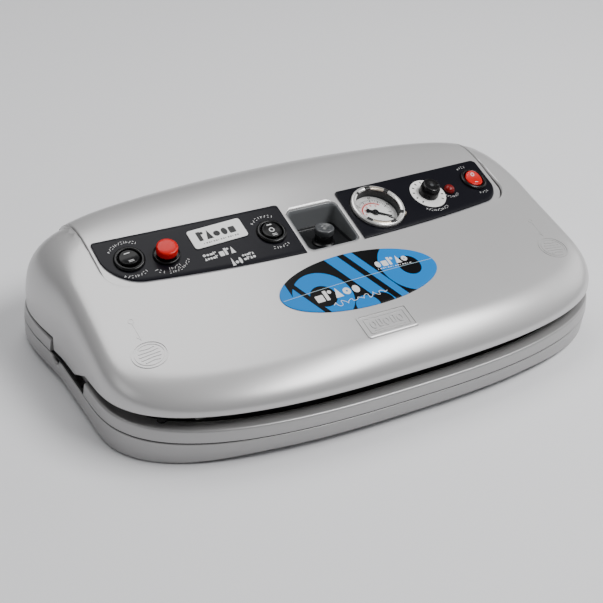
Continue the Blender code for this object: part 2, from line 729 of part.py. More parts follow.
def make_housing():
    cover = upper_body("rear_cover", SKIN, 5, 2, (0.75, 0.5, 0.25), (0.6, 0.3),
                       lambda y: Z_RIM + 0.3)
    region = prism("region", housing_outline(0.0), -20.0, 200.0)
    boolean(cover, region, "INTERSECT")
    boolean(cover, control_cutters("bores", 24.0, 12.0, 0.3), "DIFFERENCE")
    mid = (WELL_FRONT + WELL_BACK) / 2
    hy = (WELL_BACK - WELL_FRONT) / 2
    well = prism("well", rounded_rect(0, mid, WELL_HALF, hy, 6.0), 50.0, 130.0)
    boolean(cover, well, "DIFFERENCE")
    inlet = prism("inlet", rounded_rect(-100, 130, 15.4, 20, 2.0), 38.0, 62.8)
    boolean(cover, inlet, "DIFFERENCE")
    hole = lathe("fuse", [(0, -20), (7.4, -20), (7.4, 20), (0, 20)], None,
                 Matrix.Translation((-0.060, 0.130, 0.050)) @ Matrix.Rotation(math.pi / 2, 4, "X"), 20)
    boolean(cover, hole, "DIFFERENCE")

    for name, *shape in (("panel_left", -1, 182.0, 26.0, 2.6, 6.9e-4),
                         ("panel_right", 1, PANEL_HALF, 18.0, 5.0, PANEL_FRONT_ARC)):
        plate = panel(name, *shape)
        boolean(plate, control_cutters("bores", 24.0, 12.0, 0.0), "DIFFERENCE", 30)

    pan("well_cup", 0, mid, WELL_HALF - 0.5, hy - 0.5, 5.5, 1.4, WELL_FLOOR, 84.0,
        "grey_cup", 1.6, lambda x, y: skin(x, y) - 0.8)
    post = Matrix.Translation((POST_XY[0] * MM, POST_XY[1] * MM, WELL_FLOOR * MM))
    lathe("well_post", [(0, 0.2), (9.8, 0.2), (9.8, 1.6), (8.4, 2.4), (8.0, 9.4), (0, 9.4)],
          "black_plastic", post, 28)
    top = Matrix.Translation((POST_XY[0] * MM, POST_XY[1] * MM, (WELL_FLOOR + 9.7) * MM))
    lathe("well_cap", [(0, 0), (8.9, 0), (8.9, 4.4), (8.2, 5.2), (4.2, 5.2), (3.2, 4.2),
                       (0, 4.2)], "black_plastic", top, 28)

    xs = [-172 + 344 * i / 24.0 for i in range(25)]
    rows = []
    for x in xs:
        y = -9.5 + SEAM_ARC * x * x
        rows.append([(x, y, 30.9), (x, y + 2.0, 30.9), (x, y + 2.0, skin(x, y) - 4.2),
                     (x, y, skin(x, y) - 4.2)])
    verts = [v for row in rows for v in row]
    faces = []
    for i in range(len(rows) - 1):
        for k in range(4):
            m = (k + 1) % 4
            faces.append((i * 4 + k, i * 4 + m, i * 4 + 4 + m, i * 4 + 4 + k))
    faces.append((0, 1, 2, 3))
    faces.append(tuple(reversed(range(len(verts) - 4, len(verts)))))
    wall = add_mesh("bulkhead", verts, faces, "cast_grey")
    cutter = prism("slot", [(-WELL_HALF - 1, -20), (WELL_HALF + 1, -20),
                            (WELL_HALF + 1, 0), (-WELL_HALF - 1, 0)], WELL_FLOOR - 4, 120)
    boolean(wall, cutter, "DIFFERENCE", 30)


def rocker(prefix, where, kind, tilt):
    frame = surface_frame(where[0], where[1], PANEL_LIFT + PANEL_T)
    lathe(prefix + "_bezel", [(0, -17.0), (9.9, -17.0), (9.9, 0.15), (12.2, 0.15),
                              (12.2, 1.3), (11.2, 2.3), (9.3, 2.3), (9.0, 1.6),
                              (9.0, -6.5), (0, -6.5)], "black_plastic", frame, 24)
    cap = lathe(prefix + "_rocker", [(0, -5.6), (5.0, -5.6), (7.4, -1.5), (8.1, 1.4),
                                     (7.9, 2.9), (7.2, 3.5), (3.6, 2.9), (0, 2.7)],
                kind, frame, 24)
    cap.data.transform(Matrix.Rotation(math.radians(tilt), 4, "X"))


def make_controls():
    rocker("mode", MODE_XY, "black_plastic", -8.0)
    rocker("source", SOURCE_XY, "black_plastic", 0.0)
    rocker("power", POWER_XY, "red_plastic", 8.0)

    frame = surface_frame(START_XY[0], START_XY[1], PANEL_LIFT + PANEL_T)
    lathe("start_collar", [(0, -20), (7.0, -20), (7.0, 0.15), (10.6, 0.15), (10.6, 1.6),
                           (9.9, 2.4), (9.3, 2.4), (9.3, 1.2), (5.0, 1.2), (5.0, -12),
                           (0, -12)], "black_plastic", frame, 24)
    lathe("start_button", [(0, -8.5), (4.6, -8.5), (4.6, 4.2), (8.0, 4.2), (8.4, 4.8), (8.4, 8.8),
                           (7.6, 10.0), (4.5, 10.5), (0, 10.6)], "red_plastic", frame, 24)

    flat = surface_frame(PLATE_XY[0], PLATE_XY[1], PANEL_LIFT + PANEL_T)
    slab("name_plate", rounded_rect(0, 0, 22.9, 9.7, 2.4), 0.32, 0.80, "white_plastic", flat)

    frame = surface_frame(GAUGE_XY[0], GAUGE_XY[1], PANEL_LIFT + PANEL_T)
    lathe("gauge_case", [(0, -20), (20.1, -20), (20.1, 0.2), (21.6, 0.2), (21.6, 1.9),
                         (19.6, 1.9), (19.6, -6.6), (0, -6.6)], "black_plastic", frame, 36)
    lathe("gauge_ring", [(21.8, 0.2), (23.1, 0.2), (23.1, 2.4), (22.4, 3.6), (20.6, 3.6),
                         (19.8, 2.9), (19.8, 2.1), (21.8, 2.1)], "chrome", frame, 36)
    lathe("gauge_face", [(0, -6.5), (19.3, -6.5), (19.3, -5.9), (0, -5.9)],
          "white_plastic", frame, 36)
    lathe("gauge_window", [(0, 0.4), (19.4, 0.4), (19.4, 1.2), (0, 1.2)],
          "clear_window", frame, 36)
    needle_frame = frame @ Matrix.Translation((0, 0, -5.7 * MM))
    needle_frame = needle_frame @ Matrix.Rotation(math.radians(-30.0), 4, "Z")
    outline = [(15.0, -0.35), (15.0, 0.35), (2.6, 0.7), (2.2, 2.2), (-1.2, 2.6), (-2.4, 1.3),
               (-6.5, 1.3), (-6.5, -1.3), (-2.4, -1.3), (-1.2, -2.6), (2.2, -2.2), (2.6, -0.7)]
    count = len(outline)
    verts = [(x, y, 0.5) for x, y in outline] + [(x, y, 1.3) for x, y in outline]
    faces = [tuple(reversed(range(count))), tuple(range(count, 2 * count))]
    faces += [(i, (i + 1) % count, count + (i + 1) % count, count + i) for i in range(count)]
    add_mesh("gauge_needle", verts, faces, "black_plastic", needle_frame, 30)

    frame = surface_frame(TIMER_XY[0], TIMER_XY[1], PANEL_LIFT + PANEL_T)
    lathe("timer_dial", [(4.6, 0.12), (16.2, 0.12), (16.2, 0.60), (4.6, 0.60)],
          "white_plastic", frame, 36)
    knob = frame @ Matrix.Rotation(math.radians(-15.0), 4, "Z")
    lathe("timer_knob", [(0, -6.0), (3.6, -6.0), (3.6, 1.4), (8.8, 1.4), (8.6, 6.4), (8.1, 9.8),
                         (7.2, 10.7), (0, 10.9)], "black_plastic", knob, 28)
    lathe("timer_pot", [(0, -22), (11, -22), (11, -8.4), (4.4, -8.4), (4.4, -6.4), (0, -6.4)],
          "cast_grey", frame, 28)
    frame = surface_frame(LAMP_XY[0], LAMP_XY[1], PANEL_LIFT + PANEL_T)
    lathe("indicator_lamp", [(0, -14), (3.3, -14), (3.3, 0.15), (4.8, 0.15), (4.6, 1.6),
                             (3.4, 3.4), (1.6, 4.2), (0, 4.4)], "dark_red", frame, 24)


# ----------------------------------------------------------------------- lid
def make_lid():
    lid = upper_body("lid_shell", SKIN, 6, 3, (0.75, 0.5, 0.25), (0.6, 0.3), lid_low)
    region = prism("region", housing_outline(SEAM_GAP), -20.0, 200.0)
    boolean(lid, region, "DIFFERENCE")
    parts = [lid]

    bx, by = BADGE_XY
    ax, ay = BADGE_HALF
    segments = 40

    def badge_ring(scale, lift):
        out = []
        for i in range(segments):
            a = 2 * math.pi * i / segments
            x = bx + ax * scale * math.cos(a)
            y = by + ay * scale * math.sin(a)
            out.append((x, y, top_height(x, y) + lift))
        return out
    rings = [badge_ring(0.5, 0.25), badge_ring(1.0, 0.25), badge_ring(1.0, 0.60),
             badge_ring(0.5, 0.60)]
    verts, faces = loft(rings, (bx, by, top_height(bx, by) + 0.25),
                        (bx, by, top_height(bx, by) + 0.60))
    parts.append(add_mesh("oval_badge", verts, faces, "badge_blue"))

    mid = (TRAY_Y[0] + TRAY_Y[1]) / 2
    half = (TRAY_Y[1] - TRAY_Y[0]) / 2
    outline = rounded_rect(0, -69.0, 176.0, 38.0, 26.0)
    parts.append(slab("lid_liner", outline, 42.0, 43.6, "cast_grey"))
    parts.append(rect_band("lid_gasket", rounded_rect(0, mid, TRAY_HALF + 6.5, half + 1.8, 12.0),
                           rounded_rect(0, mid, TRAY_HALF + 1.0, half - 0.6, 10.0),
                           DECK_Z[1] + 5.5, 41.8, "rubber"))
    parts.append(box("press_bar", (-163, 163), (SEAL_Y - 3.6, SEAL_Y + 2.6), (35.4, 41.8),
                     "white_silicone", 1.0, 0.0))
    for name, side in (("hinge_arm_left", -1), ("hinge_arm_right", 1)):
        outline = [(14, 52), (62, 63), (80, 63), (82, 76), (76, 81), (64, 81), (14, 68)]
        verts = []
        for x in (186.4, 189.4):
            verts.extend((side * x, y, z) for y, z in outline)
        count = len(outline)
        faces = [tuple(range(count)), tuple(reversed(range(count, 2 * count)))]
        faces += [(i, (i + 1) % count, count + (i + 1) % count, count + i)
                  for i in range(count)]
        arm = add_mesh(name, verts, faces, "steel", None, 30)
        frame = Matrix.Translation((0, HINGE_Y * MM, HINGE_Z * MM))
        frame = frame @ Matrix.Rotation(math.pi / 2, 4, "Y")
        cutter = lathe("bore", [(0, -200), (4.2, -200), (4.2, 200), (0, 200)], None, frame, 24)
        boolean(arm, cutter, "DIFFERENCE", 30)
        parts.append(arm)
    for part in parts:
        raise_lid(part)

    for name, side in (("left", -1), ("right", 1)):
        outline = [(HINGE_Y - 10, 31), (HINGE_Y + 10, 31), (HINGE_Y + 9, 82),
                   (HINGE_Y + 4, 87), (HINGE_Y - 4, 87), (HINGE_Y - 9, 82)]
        verts = []
        for x in (176.0, 179.0):
            verts.extend((side * x, y, z) for y, z in outline)
        count = len(outline)
        faces = [tuple(range(count)), tuple(reversed(range(count, 2 * count)))]
        faces += [(i, (i + 1) % count, count + (i + 1) % count, count + i)
                  for i in range(count)]
        bracket = add_mesh("hinge_bracket_" + name, verts, faces, "steel", None, 30)
        frame = Matrix.Translation((side * 0.1775, HINGE_Y * MM, HINGE_Z * MM))
        frame = frame @ Matrix.Rotation(math.pi / 2, 4, "Y")
        cutter = lathe("bore", [(0, -9), (4.2, -9), (4.2, 9), (0, 9)], None, frame, 24)
        boolean(bracket, cutter, "DIFFERENCE", 30)
        frame = Matrix.Translation((side * 0.183, HINGE_Y * MM, HINGE_Z * MM))
        frame = frame @ Matrix.Rotation(math.pi / 2, 4, "Y")
        lathe("hinge_pin_" + name, [(0, -8.2), (4.0, -8.2), (4.0, 7.6), (3.4, 8.2), (0, 8.2)],
              "steel", frame, 24)


def make_springs():
    """Two short coil springs under the lid corners, drawn at the resting height."""
    turns, per_turn = 4.0, 10
    low = Z_RIM + 1.0
    high = 48.5
    for name, side in (("lid_spring_left", -1), ("lid_spring_right", 1)):
        path = []
        steps = int(turns * per_turn)
        for i in range(steps + 1):
            a = 2 * math.pi * i / per_turn
            path.append((side * SPRING_XY[0] + 3.6 * math.cos(a),
                         SPRING_XY[1] + 3.6 * math.sin(a), low + (high - low) * i / steps))
        tube(name, path, 0.7, 5, "steel")


# ------------------------------------------------------------------ machinery
def make_machinery():
    box("pump_body", (72, 142), (42, 112), (8.4, 70), "cast_grey", 8.0, 2.0)
    frame = Matrix.Translation((0.040, 0.077, 0.040)) @ Matrix.Rotation(math.pi / 2, 4, "Y")
    lathe("pump_motor", [(0, -28), (8, -28), (8, -24), (27, -24), (28, -22), (28, 28), (9, 28),
                         (9, 31), (0, 31)], "steel", frame, 36)
    fan = Matrix.Translation((0.003, 0.077, 0.040)) @ Matrix.Rotation(math.pi / 2, 4, "Y")
    verts = []
    faces = []
    count = 24
    for z in (-2.5, 2.5):
        for i in range(count):
            r = 22.0 if i % 3 else 9.0
            a = 2 * math.pi * i / count
            verts.append((r * math.cos(a), r * math.sin(a), z))
    centre = len(verts)
    verts.extend(((0, 0, -2.5), (0, 0, 2.5)))
    for i in range(count):
        j = (i + 1) % count
        faces.append((centre, j, i))
        faces.append((centre + 1, count + i, count + j))
        faces.append((i, j, count + j, count + i))
    add_mesh("motor_fan", verts, faces, "black_plastic", fan, 30)
    box("transformer", (-160, -88), (58, 110), (8.4, 58), "copper", 3.0, 2.0)
    box("control_board", (-160, -66), (13, 52), (58.6, 60.2), "board_green", 1.0, 0.0)
    path = [(60.0, -49.0, 13.2), (60.0, -40.0, 13.2), (60.0, 0.0, 13.2), (62.0, 20.0, 13.2),
            (68.0, 32.0, 13.2), (78.0, 37.0, 13.2), (90.0, 38.0, 13.2)]
    tube("suction_hose", path, 3.6, 12, "blue_hose")
    inlet = slab("mains_inlet", rounded_rect(0, 0, 15.0, 12.0, 2.0), -22.0, 0.0,
                 "black_plastic", Matrix.Translation((-0.100, 0.1386, 0.0504))
                 @ Matrix.Rotation(-math.pi / 2, 4, "X"), 0.5)
    frame = Matrix.Translation((-0.100, 0.1386, 0.0504)) @ Matrix.Rotation(-math.pi / 2, 4, "X")
    pocket = slab("pocket", rounded_rect(0, 0, 12.2, 8.2, 2.0), -16.0, 3.0, None, frame)
    boolean(inlet, pocket, "DIFFERENCE", 30)
    for px, py in ((-7.0, 2.0), (0.0, -2.6), (7.0, 2.0)):
        pin = slab("pin", rounded_rect(px, py, 1.0, 2.4, 0.4, 2), -17.0, -3.0, None, frame)
        boolean(inlet, pin, "UNION", 30)
    frame = Matrix.Translation((-0.060, 0.1380, 0.050)) @ Matrix.Rotation(-math.pi / 2, 4, "X")
    lathe("fuse_holder", [(0, -24), (6.8, -24), (6.8, 0), (5.6, 0.8), (0, 0.8)],
          "black_plastic", frame, 24)


clear_scene()
make_base()
make_housing()
make_controls()
make_lid()
make_springs()
make_machinery()
bpy.context.view_layer.update()
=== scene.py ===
"""Looks of the vacuum chamber sealer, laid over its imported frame. Sizes are in mm."""
import math

import bmesh
import bpy
from mathutils import Matrix, Vector


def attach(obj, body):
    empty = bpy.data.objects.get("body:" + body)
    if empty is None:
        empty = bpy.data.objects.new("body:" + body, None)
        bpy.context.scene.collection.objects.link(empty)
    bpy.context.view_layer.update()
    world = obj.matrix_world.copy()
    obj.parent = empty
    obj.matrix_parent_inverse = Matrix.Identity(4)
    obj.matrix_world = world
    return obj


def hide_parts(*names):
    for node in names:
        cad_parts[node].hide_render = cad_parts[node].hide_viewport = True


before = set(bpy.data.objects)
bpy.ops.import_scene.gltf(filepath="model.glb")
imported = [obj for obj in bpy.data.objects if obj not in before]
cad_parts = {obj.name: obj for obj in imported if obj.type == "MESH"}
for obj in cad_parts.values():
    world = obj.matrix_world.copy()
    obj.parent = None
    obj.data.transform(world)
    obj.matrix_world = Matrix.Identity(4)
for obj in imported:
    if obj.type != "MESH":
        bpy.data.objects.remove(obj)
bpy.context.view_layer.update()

MM = 0.001

# --------------------------------------------------------------- body surfaces
HALF_W, REAR_SPREAD = 221.5, 4.5
Y_FRONT, Y_FRONT_MID = -139.0, -42.0
Y_REAR, Y_REAR_MID = 139.0, 62.0
PLAN_POWER, REAR_POWER = 2.7, 2.9
IN_SIDE, IN_FRONT, IN_REAR = 1.2, 5.5, 1.2
ROLL_FRONT, ROLL_REAR = 26.0, 66.0
Y_PANEL, Z_PANEL, SLOPE, CROWN = 36.6, 102.0, 0.30, 3.17e-4
Y_SLOPE_END, Y_CREST = 44.0, 80.0
Z_WALL = 34.5
PANEL_TOP = 1.40
UPRIGHT = 1.045  # height gained for each mm along the sloping top's normal
HINGE = Vector((0.0, 70.0, 75.0))
LID_RAISE = math.radians(3.07)


def smooth_step(a, b, t):
    t = min(1.0, max(0.0, (t - a) / (b - a)))
    return t * t * (3.0 - 2.0 * t)


def round_off(radius, run):
    """Drop of a rounded edge, run in from where the rounding starts."""
    return radius - math.sqrt(max(0.0, radius * radius - run * run))


def between(stops, t):
    """Value at t on straight lines through (t, value) stops."""
    for (ta, va), (tb, vb) in zip(stops, stops[1:]):
        if t <= tb:
            return va + (vb - va) * (t - ta) / ((tb - ta) or 1.0)
    return stops[-1][1]


def half_width(y):
    return HALF_W + REAR_SPREAD * smooth_step(10.0, Y_REAR_MID, y)


def side_roll(y):
    return 23.0 + 35.0 * smooth_step(15.0, 80.0, y)


def top_height(x, y):
    rise = SLOPE * (min(y, Y_SLOPE_END) - Y_PANEL)
    if y > Y_SLOPE_END:
        run = min(y, Y_CREST) - Y_SLOPE_END
        rise += SLOPE * (run - run * run / (2.0 * (Y_CREST - Y_SLOPE_END)))
    return Z_PANEL + rise - CROWN * x * x


def skin(x, y):
    """Height of the upper body away from its front and rear ends."""
    height = top_height(x, y)
    edge = half_width(y) - IN_SIDE - abs(x)
    width = side_roll(y)
    if edge < width:
        c = max(0.0, 1.0 - edge / width)
        height = Z_WALL + (height - Z_WALL) * (1.0 - c ** 3.0) ** (1.0 / 3.0)
    return height


def surface_frame(x, y, lift=0.0):
    step = 0.5
    dx = (skin(x + step, y) - skin(x - step, y)) / (2 * step)
    dy = (skin(x, y + step) - skin(x, y - step)) / (2 * step)
    normal = Vector((-dx, -dy, 1.0)).normalized()
    axis_x = Vector((1.0, 0.0, dx)).normalized()
    axis_y = normal.cross(axis_x).normalized()
    out = Matrix((axis_x, axis_y, normal)).transposed().to_4x4()
    out.translation = Vector((x, y, skin(x, y))) + normal * lift
    return out


def local(base):
    """Map from a control's own axes to the world."""
    return lambda x, y, h: base @ Vector((x, y, h))


def upright(x, y, h):
    return Vector((x, y, h))


def on_panel(x, y, h):
    return Vector((x, y, skin(x, y) + (PANEL_TOP + h) * UPRIGHT))


def raised(p):
    """A point built on the closed lid, moved to the resting lid."""
    return Matrix.Rotation(-LID_RAISE, 3, "X") @ (p - HINGE) + HINGE


def front_drop(x, y):
    """Height of the lid's front roll below the sloping top."""
    depth = Y_FRONT_MID - Y_FRONT
    unit = max(0.0, 1.0 - (min(abs(x), HALF_W - 1.3) / (HALF_W - IN_SIDE)) ** PLAN_POWER)
    edge = Y_FRONT_MID - (depth - IN_FRONT) * unit ** (1.0 / PLAN_POWER)
    start = Y_FRONT_MID - (depth - IN_FRONT - ROLL_FRONT) * unit ** (1.0 / PLAN_POWER)
    if y >= start:
        return 0.0
    c = min(1.0, (start - y) / max(0.1, start - edge))
    return (top_height(x, y) - Z_WALL) * round_off(1.0, c)


def on_lid(x, y, h):
    return raised(Vector((x, y, skin(x, y) - front_drop(x, y) + h * UPRIGHT)))


# ------------------------------------------------------------------- materials
def srgb(r, g, b):
    def lin(v):
        v /= 255.0
        return v / 12.92 if v <= 0.04045 else ((v + 0.055) / 1.055) ** 2.4
    return (lin(r), lin(g), lin(b), 1.0)


def shader_math(kind):
    def method(self, *others):
        node = self.tree.nodes.new("ShaderNodeMath")
        node.operation = kind
        for item, socket in zip((self, *others), node.inputs):
            if isinstance(item, Val):
                self.tree.links.new(item.socket, socket)
            else:
                socket.default_value = item
        return Val(self.tree, node.outputs[0])
    return method


class Val:
    """A shader value that can be used in plain arithmetic."""

    def __init__(self, tree, socket):
        self.tree = tree
        self.socket = socket

    __add__ = shader_math("ADD")
    __sub__ = shader_math("SUBTRACT")
    __mul__ = shader_math("MULTIPLY")
    __gt__ = shader_math("GREATER_THAN")
    __lt__ = shader_math("LESS_THAN")
    sqrt = shader_math("SQRT")
    either = shader_math("MAXIMUM")
    both = shader_math("MINIMUM")


class Mat:
    """One node-based material with colour variation, grain and roughness variation."""

    def __init__(self, name, colour, rough=0.4, metal=0.0, grain=0.02, grain_scale=2200.0,
                 cloud=0.03, cloud_scale=60.0, rough_var=0.05, coat=0.0, specular=0.5,
                 stretch=None):
        self.mat = bpy.data.materials.new(name)
        self.mat.use_nodes = True
        self.tree = self.mat.node_tree
        self.shader = self.tree.nodes["Principled BSDF"]
        s = self.shader.inputs
        s["Metallic"].default_value = metal
        s["Coat Weight"].default_value = coat
        s["Coat Roughness"].default_value = 0.1
        s["Specular IOR Level"].default_value = specular
        coord = self.tree.nodes.new("ShaderNodeTexCoord")
        self.coord = source = coord.outputs["Object"]
        if stretch:
            mapping = self.tree.nodes.new("ShaderNodeMapping")
            mapping.inputs["Scale"].default_value = stretch
            self.link(self.coord, mapping.inputs["Vector"])
            source = mapping.outputs[0]
        soft = self.noise(source, cloud_scale, 3.0)
        fine = self.noise(source, grain_scale, 2.0)
        low = tuple(c * (1.0 - cloud) for c in colour[:3]) + (1.0,)
        high = tuple(min(1.0, c * (1.0 + cloud)) for c in colour[:3]) + (1.0,)
        self.base = self.mix(soft, low, high)
        self.paint(self.base)
        ramp = self.tree.nodes.new("ShaderNodeMapRange")
        ramp.inputs["To Min"].default_value = max(0.02, rough - rough_var)
        ramp.inputs["To Max"].default_value = min(1.0, rough + rough_var)
        self.link(soft, ramp.inputs["Value"])
        self.link(ramp.outputs[0], s["Roughness"])
        if grain > 0.0:
            bump = self.tree.nodes.new("ShaderNodeBump")
            bump.inputs["Strength"].default_value = min(1.0, grain * 10.0)
            bump.inputs["Distance"].default_value = 0.00005
            self.link(fine, bump.inputs["Height"])
            self.link(bump.outputs[0], s["Normal"])

    def link(self, output, socket):
        self.tree.links.new(output, socket)

    def noise(self, vector, scale, detail):
        node = self.tree.nodes.new("ShaderNodeTexNoise")
        node.inputs["Scale"].default_value = scale
        node.inputs["Detail"].default_value = detail
        self.link(vector, node.inputs["Vector"])
        return node.outputs["Fac"]

    def mix(self, factor, a, b):
        node = self.tree.nodes.new("ShaderNodeMix")
        node.data_type = "RGBA"
        for socket, item in ((node.inputs[0], factor), (node.inputs[6], a), (node.inputs[7], b)):
            if isinstance(item, Val):
                item = item.socket
            if isinstance(item, bpy.types.NodeSocket):
                self.link(item, socket)
            else:
                socket.default_value = item
        return node.outputs[2]

    def xyz(self):
        node = self.tree.nodes.new("ShaderNodeSeparateXYZ")
        self.link(self.coord, node.inputs[0])
        return [Val(self.tree, out) for out in node.outputs]

    def paint(self, socket):
        self.link(socket, self.shader.inputs["Base Color"])


def print_ink(name, colour, cloud):
    return Mat(name, colour, rough=0.5, cloud=cloud, cloud_scale=900.0)


SILVER = Mat("silver_paint", srgb(200, 199, 199), rough=0.31, metal=0.42, grain=0.012,
             grain_scale=3200.0, cloud=0.012, cloud_scale=9.0, rough_var=0.03, specular=0.4)
# The same silver paint as the lid, made darker for the lower shell and rim: painted shade on their
# upright faces, which the light from above only grazes.
SHADED_SILVER_BASE = Mat("silver_paint_base_shaded", srgb(170, 169, 169), rough=0.33, metal=0.42, grain=0.014,
                  grain_scale=3200.0, cloud=0.014, cloud_scale=11.0, rough_var=0.03,
                  specular=0.4)
PANEL = Mat("panel_film", srgb(15, 15, 22), rough=0.30, grain=0.01, grain_scale=4200.0,
            cloud=0.06, cloud_scale=30.0, rough_var=0.04, specular=0.16)
PALE_EDGE = Mat("panel_edge", srgb(150, 150, 154), grain=0.01, cloud=0.05)
GLOSS = Mat("gloss_black", srgb(9, 9, 11), rough=0.27, grain=0.006, cloud=0.10, specular=0.32)
SATIN_CAP = Mat("satin_cap", srgb(12, 12, 14), rough=0.30, grain=0.012, cloud=0.10,
                cloud_scale=80.0, specular=0.25)
MATT = Mat("matt_black", srgb(16, 16, 17), rough=0.46, grain=0.03, cloud=0.10, rough_var=0.08)
CUP = Mat("cup_grey", srgb(108, 110, 112), rough=0.30, grain=0.015, cloud=0.05,
          cloud_scale=40.0, coat=0.15)
WELL_DARK = Mat("well_tray", srgb(20, 21, 23), rough=0.30, grain=0.004, cloud=0.08, coat=0.05,
                specular=0.2)
CAP_GREY = Mat("cap_grey", srgb(70, 72, 74), rough=0.34, grain=0.01, cloud=0.06,
               cloud_scale=90.0, coat=0.3)
WHITE = Mat("white_plastic", srgb(238, 238, 236), rough=0.36, grain=0.008, cloud=0.015,
            cloud_scale=50.0, rough_var=0.04)
PRINT = print_ink("white_ink", srgb(222, 222, 222), 0.05)
INK = print_ink("black_ink", srgb(22, 22, 24), 0.10)
PINK = print_ink("red_ink", srgb(214, 60, 56), 0.06)
PALE_LINE = Mat("badge_hairline", srgb(172, 196, 206), grain=0.01, cloud=0.04,
                cloud_scale=90.0)
RED = Mat("red_plastic", (0.60, 0.003, 0.002, 1.0), rough=0.26, grain=0.005, cloud=0.05,
          cloud_scale=90.0, specular=0.3)
LAMP = Mat("lamp_red", (0.17, 0.003, 0.003, 1.0), rough=0.30, grain=0.004, cloud=0.15,
           cloud_scale=160.0, specular=0.3)
CHROME = Mat("chrome", srgb(246, 245, 242), rough=0.20, metal=0.62, grain=0.006,
             grain_scale=1500.0, cloud=0.04, cloud_scale=120.0, rough_var=0.06)
TAB = Mat("tab_nickel", srgb(196, 184, 168), rough=0.30, metal=0.7, cloud=0.10,
          cloud_scale=200.0)
STEEL = Mat("brushed_steel", srgb(196, 196, 194), rough=0.30, metal=1.0, grain=0.05,
            grain_scale=900.0, cloud=0.05, rough_var=0.08, stretch=(1.0, 14.0, 14.0))
ALU = Mat("satin_aluminium", srgb(120, 120, 122), rough=0.42, metal=0.8, grain=0.03,
          grain_scale=1200.0, cloud=0.06, cloud_scale=40.0, rough_var=0.07)
CAST = Mat("cast_metal", srgb(118, 119, 122), rough=0.58, metal=0.5, grain=0.10,
           grain_scale=700.0, cloud=0.10, rough_var=0.10)
RUBBER = Mat("black_rubber", srgb(28, 28, 28), rough=0.72, grain=0.06, grain_scale=1400.0,
             cloud=0.12, cloud_scale=80.0, rough_var=0.08)
SILICONE = Mat("white_silicone", srgb(214, 213, 206), rough=0.58, grain=0.03, cloud=0.04,
               rough_var=0.06)
TAPE = Mat("woven_tape", srgb(150, 112, 72), rough=0.55, grain=0.10, grain_scale=2600.0,
           cloud=0.10, cloud_scale=900.0, rough_var=0.06, stretch=(1.0, 3.0, 1.0))
COPPER = Mat("winding", srgb(150, 86, 52), metal=0.6, grain=0.10, grain_scale=900.0,
             cloud=0.15, cloud_scale=200.0, rough_var=0.08, stretch=(1.0, 1.0, 12.0))
BOARD = Mat("circuit_board", srgb(18, 92, 52), grain=0.05, grain_scale=1800.0, cloud=0.25,
            cloud_scale=380.0, rough_var=0.08)
HOSE = Mat("hose_blue", srgb(40, 74, 140), rough=0.42, cloud=0.06)
GLASS = Mat("gauge_glass", (0.05, 0.06, 0.07, 1.0), rough=0.05, grain=0.0, cloud=0.05,
            cloud_scale=14.0, rough_var=0.02, specular=0.15)
GLASS.shader.inputs["Alpha"].default_value = 0.03

NODE_LOOKS = {
    ALU: "lid_liner bulkhead",
    STEEL: "vacuum_tray heat_strip hinge_arm_left hinge_arm_right hinge_bracket_left "
           "hinge_bracket_right hinge_pin_left hinge_pin_right lid_spring_left "
           "lid_spring_right pump_motor timer_pot",
    RUBBER: "base_gasket bag_stop foot_front_left foot_front_right foot_rear_left "
            "foot_rear_right lid_gasket",
    SILICONE: "seal_bar press_bar",
    TAPE: "seal_tape",
    # The chassis deck is aluminium but gets the matt black look here: painted shade for the dark
    # gap under the lid's edge.
    MATT: "chassis_deck suction_nozzle motor_fan mains_inlet fuse_holder",
    CAST: "pump_body",
    COPPER: "transformer",
    BOARD: "control_board",
    HOSE: "suction_hose",
}


def paint_node(name, look):
    materials = bpy.data.objects[name].data.materials
    materials.clear()
    materials.append(look.mat)


for look, names in NODE_LOOKS.items():
    for name in names.split():
        paint_node(name, look)


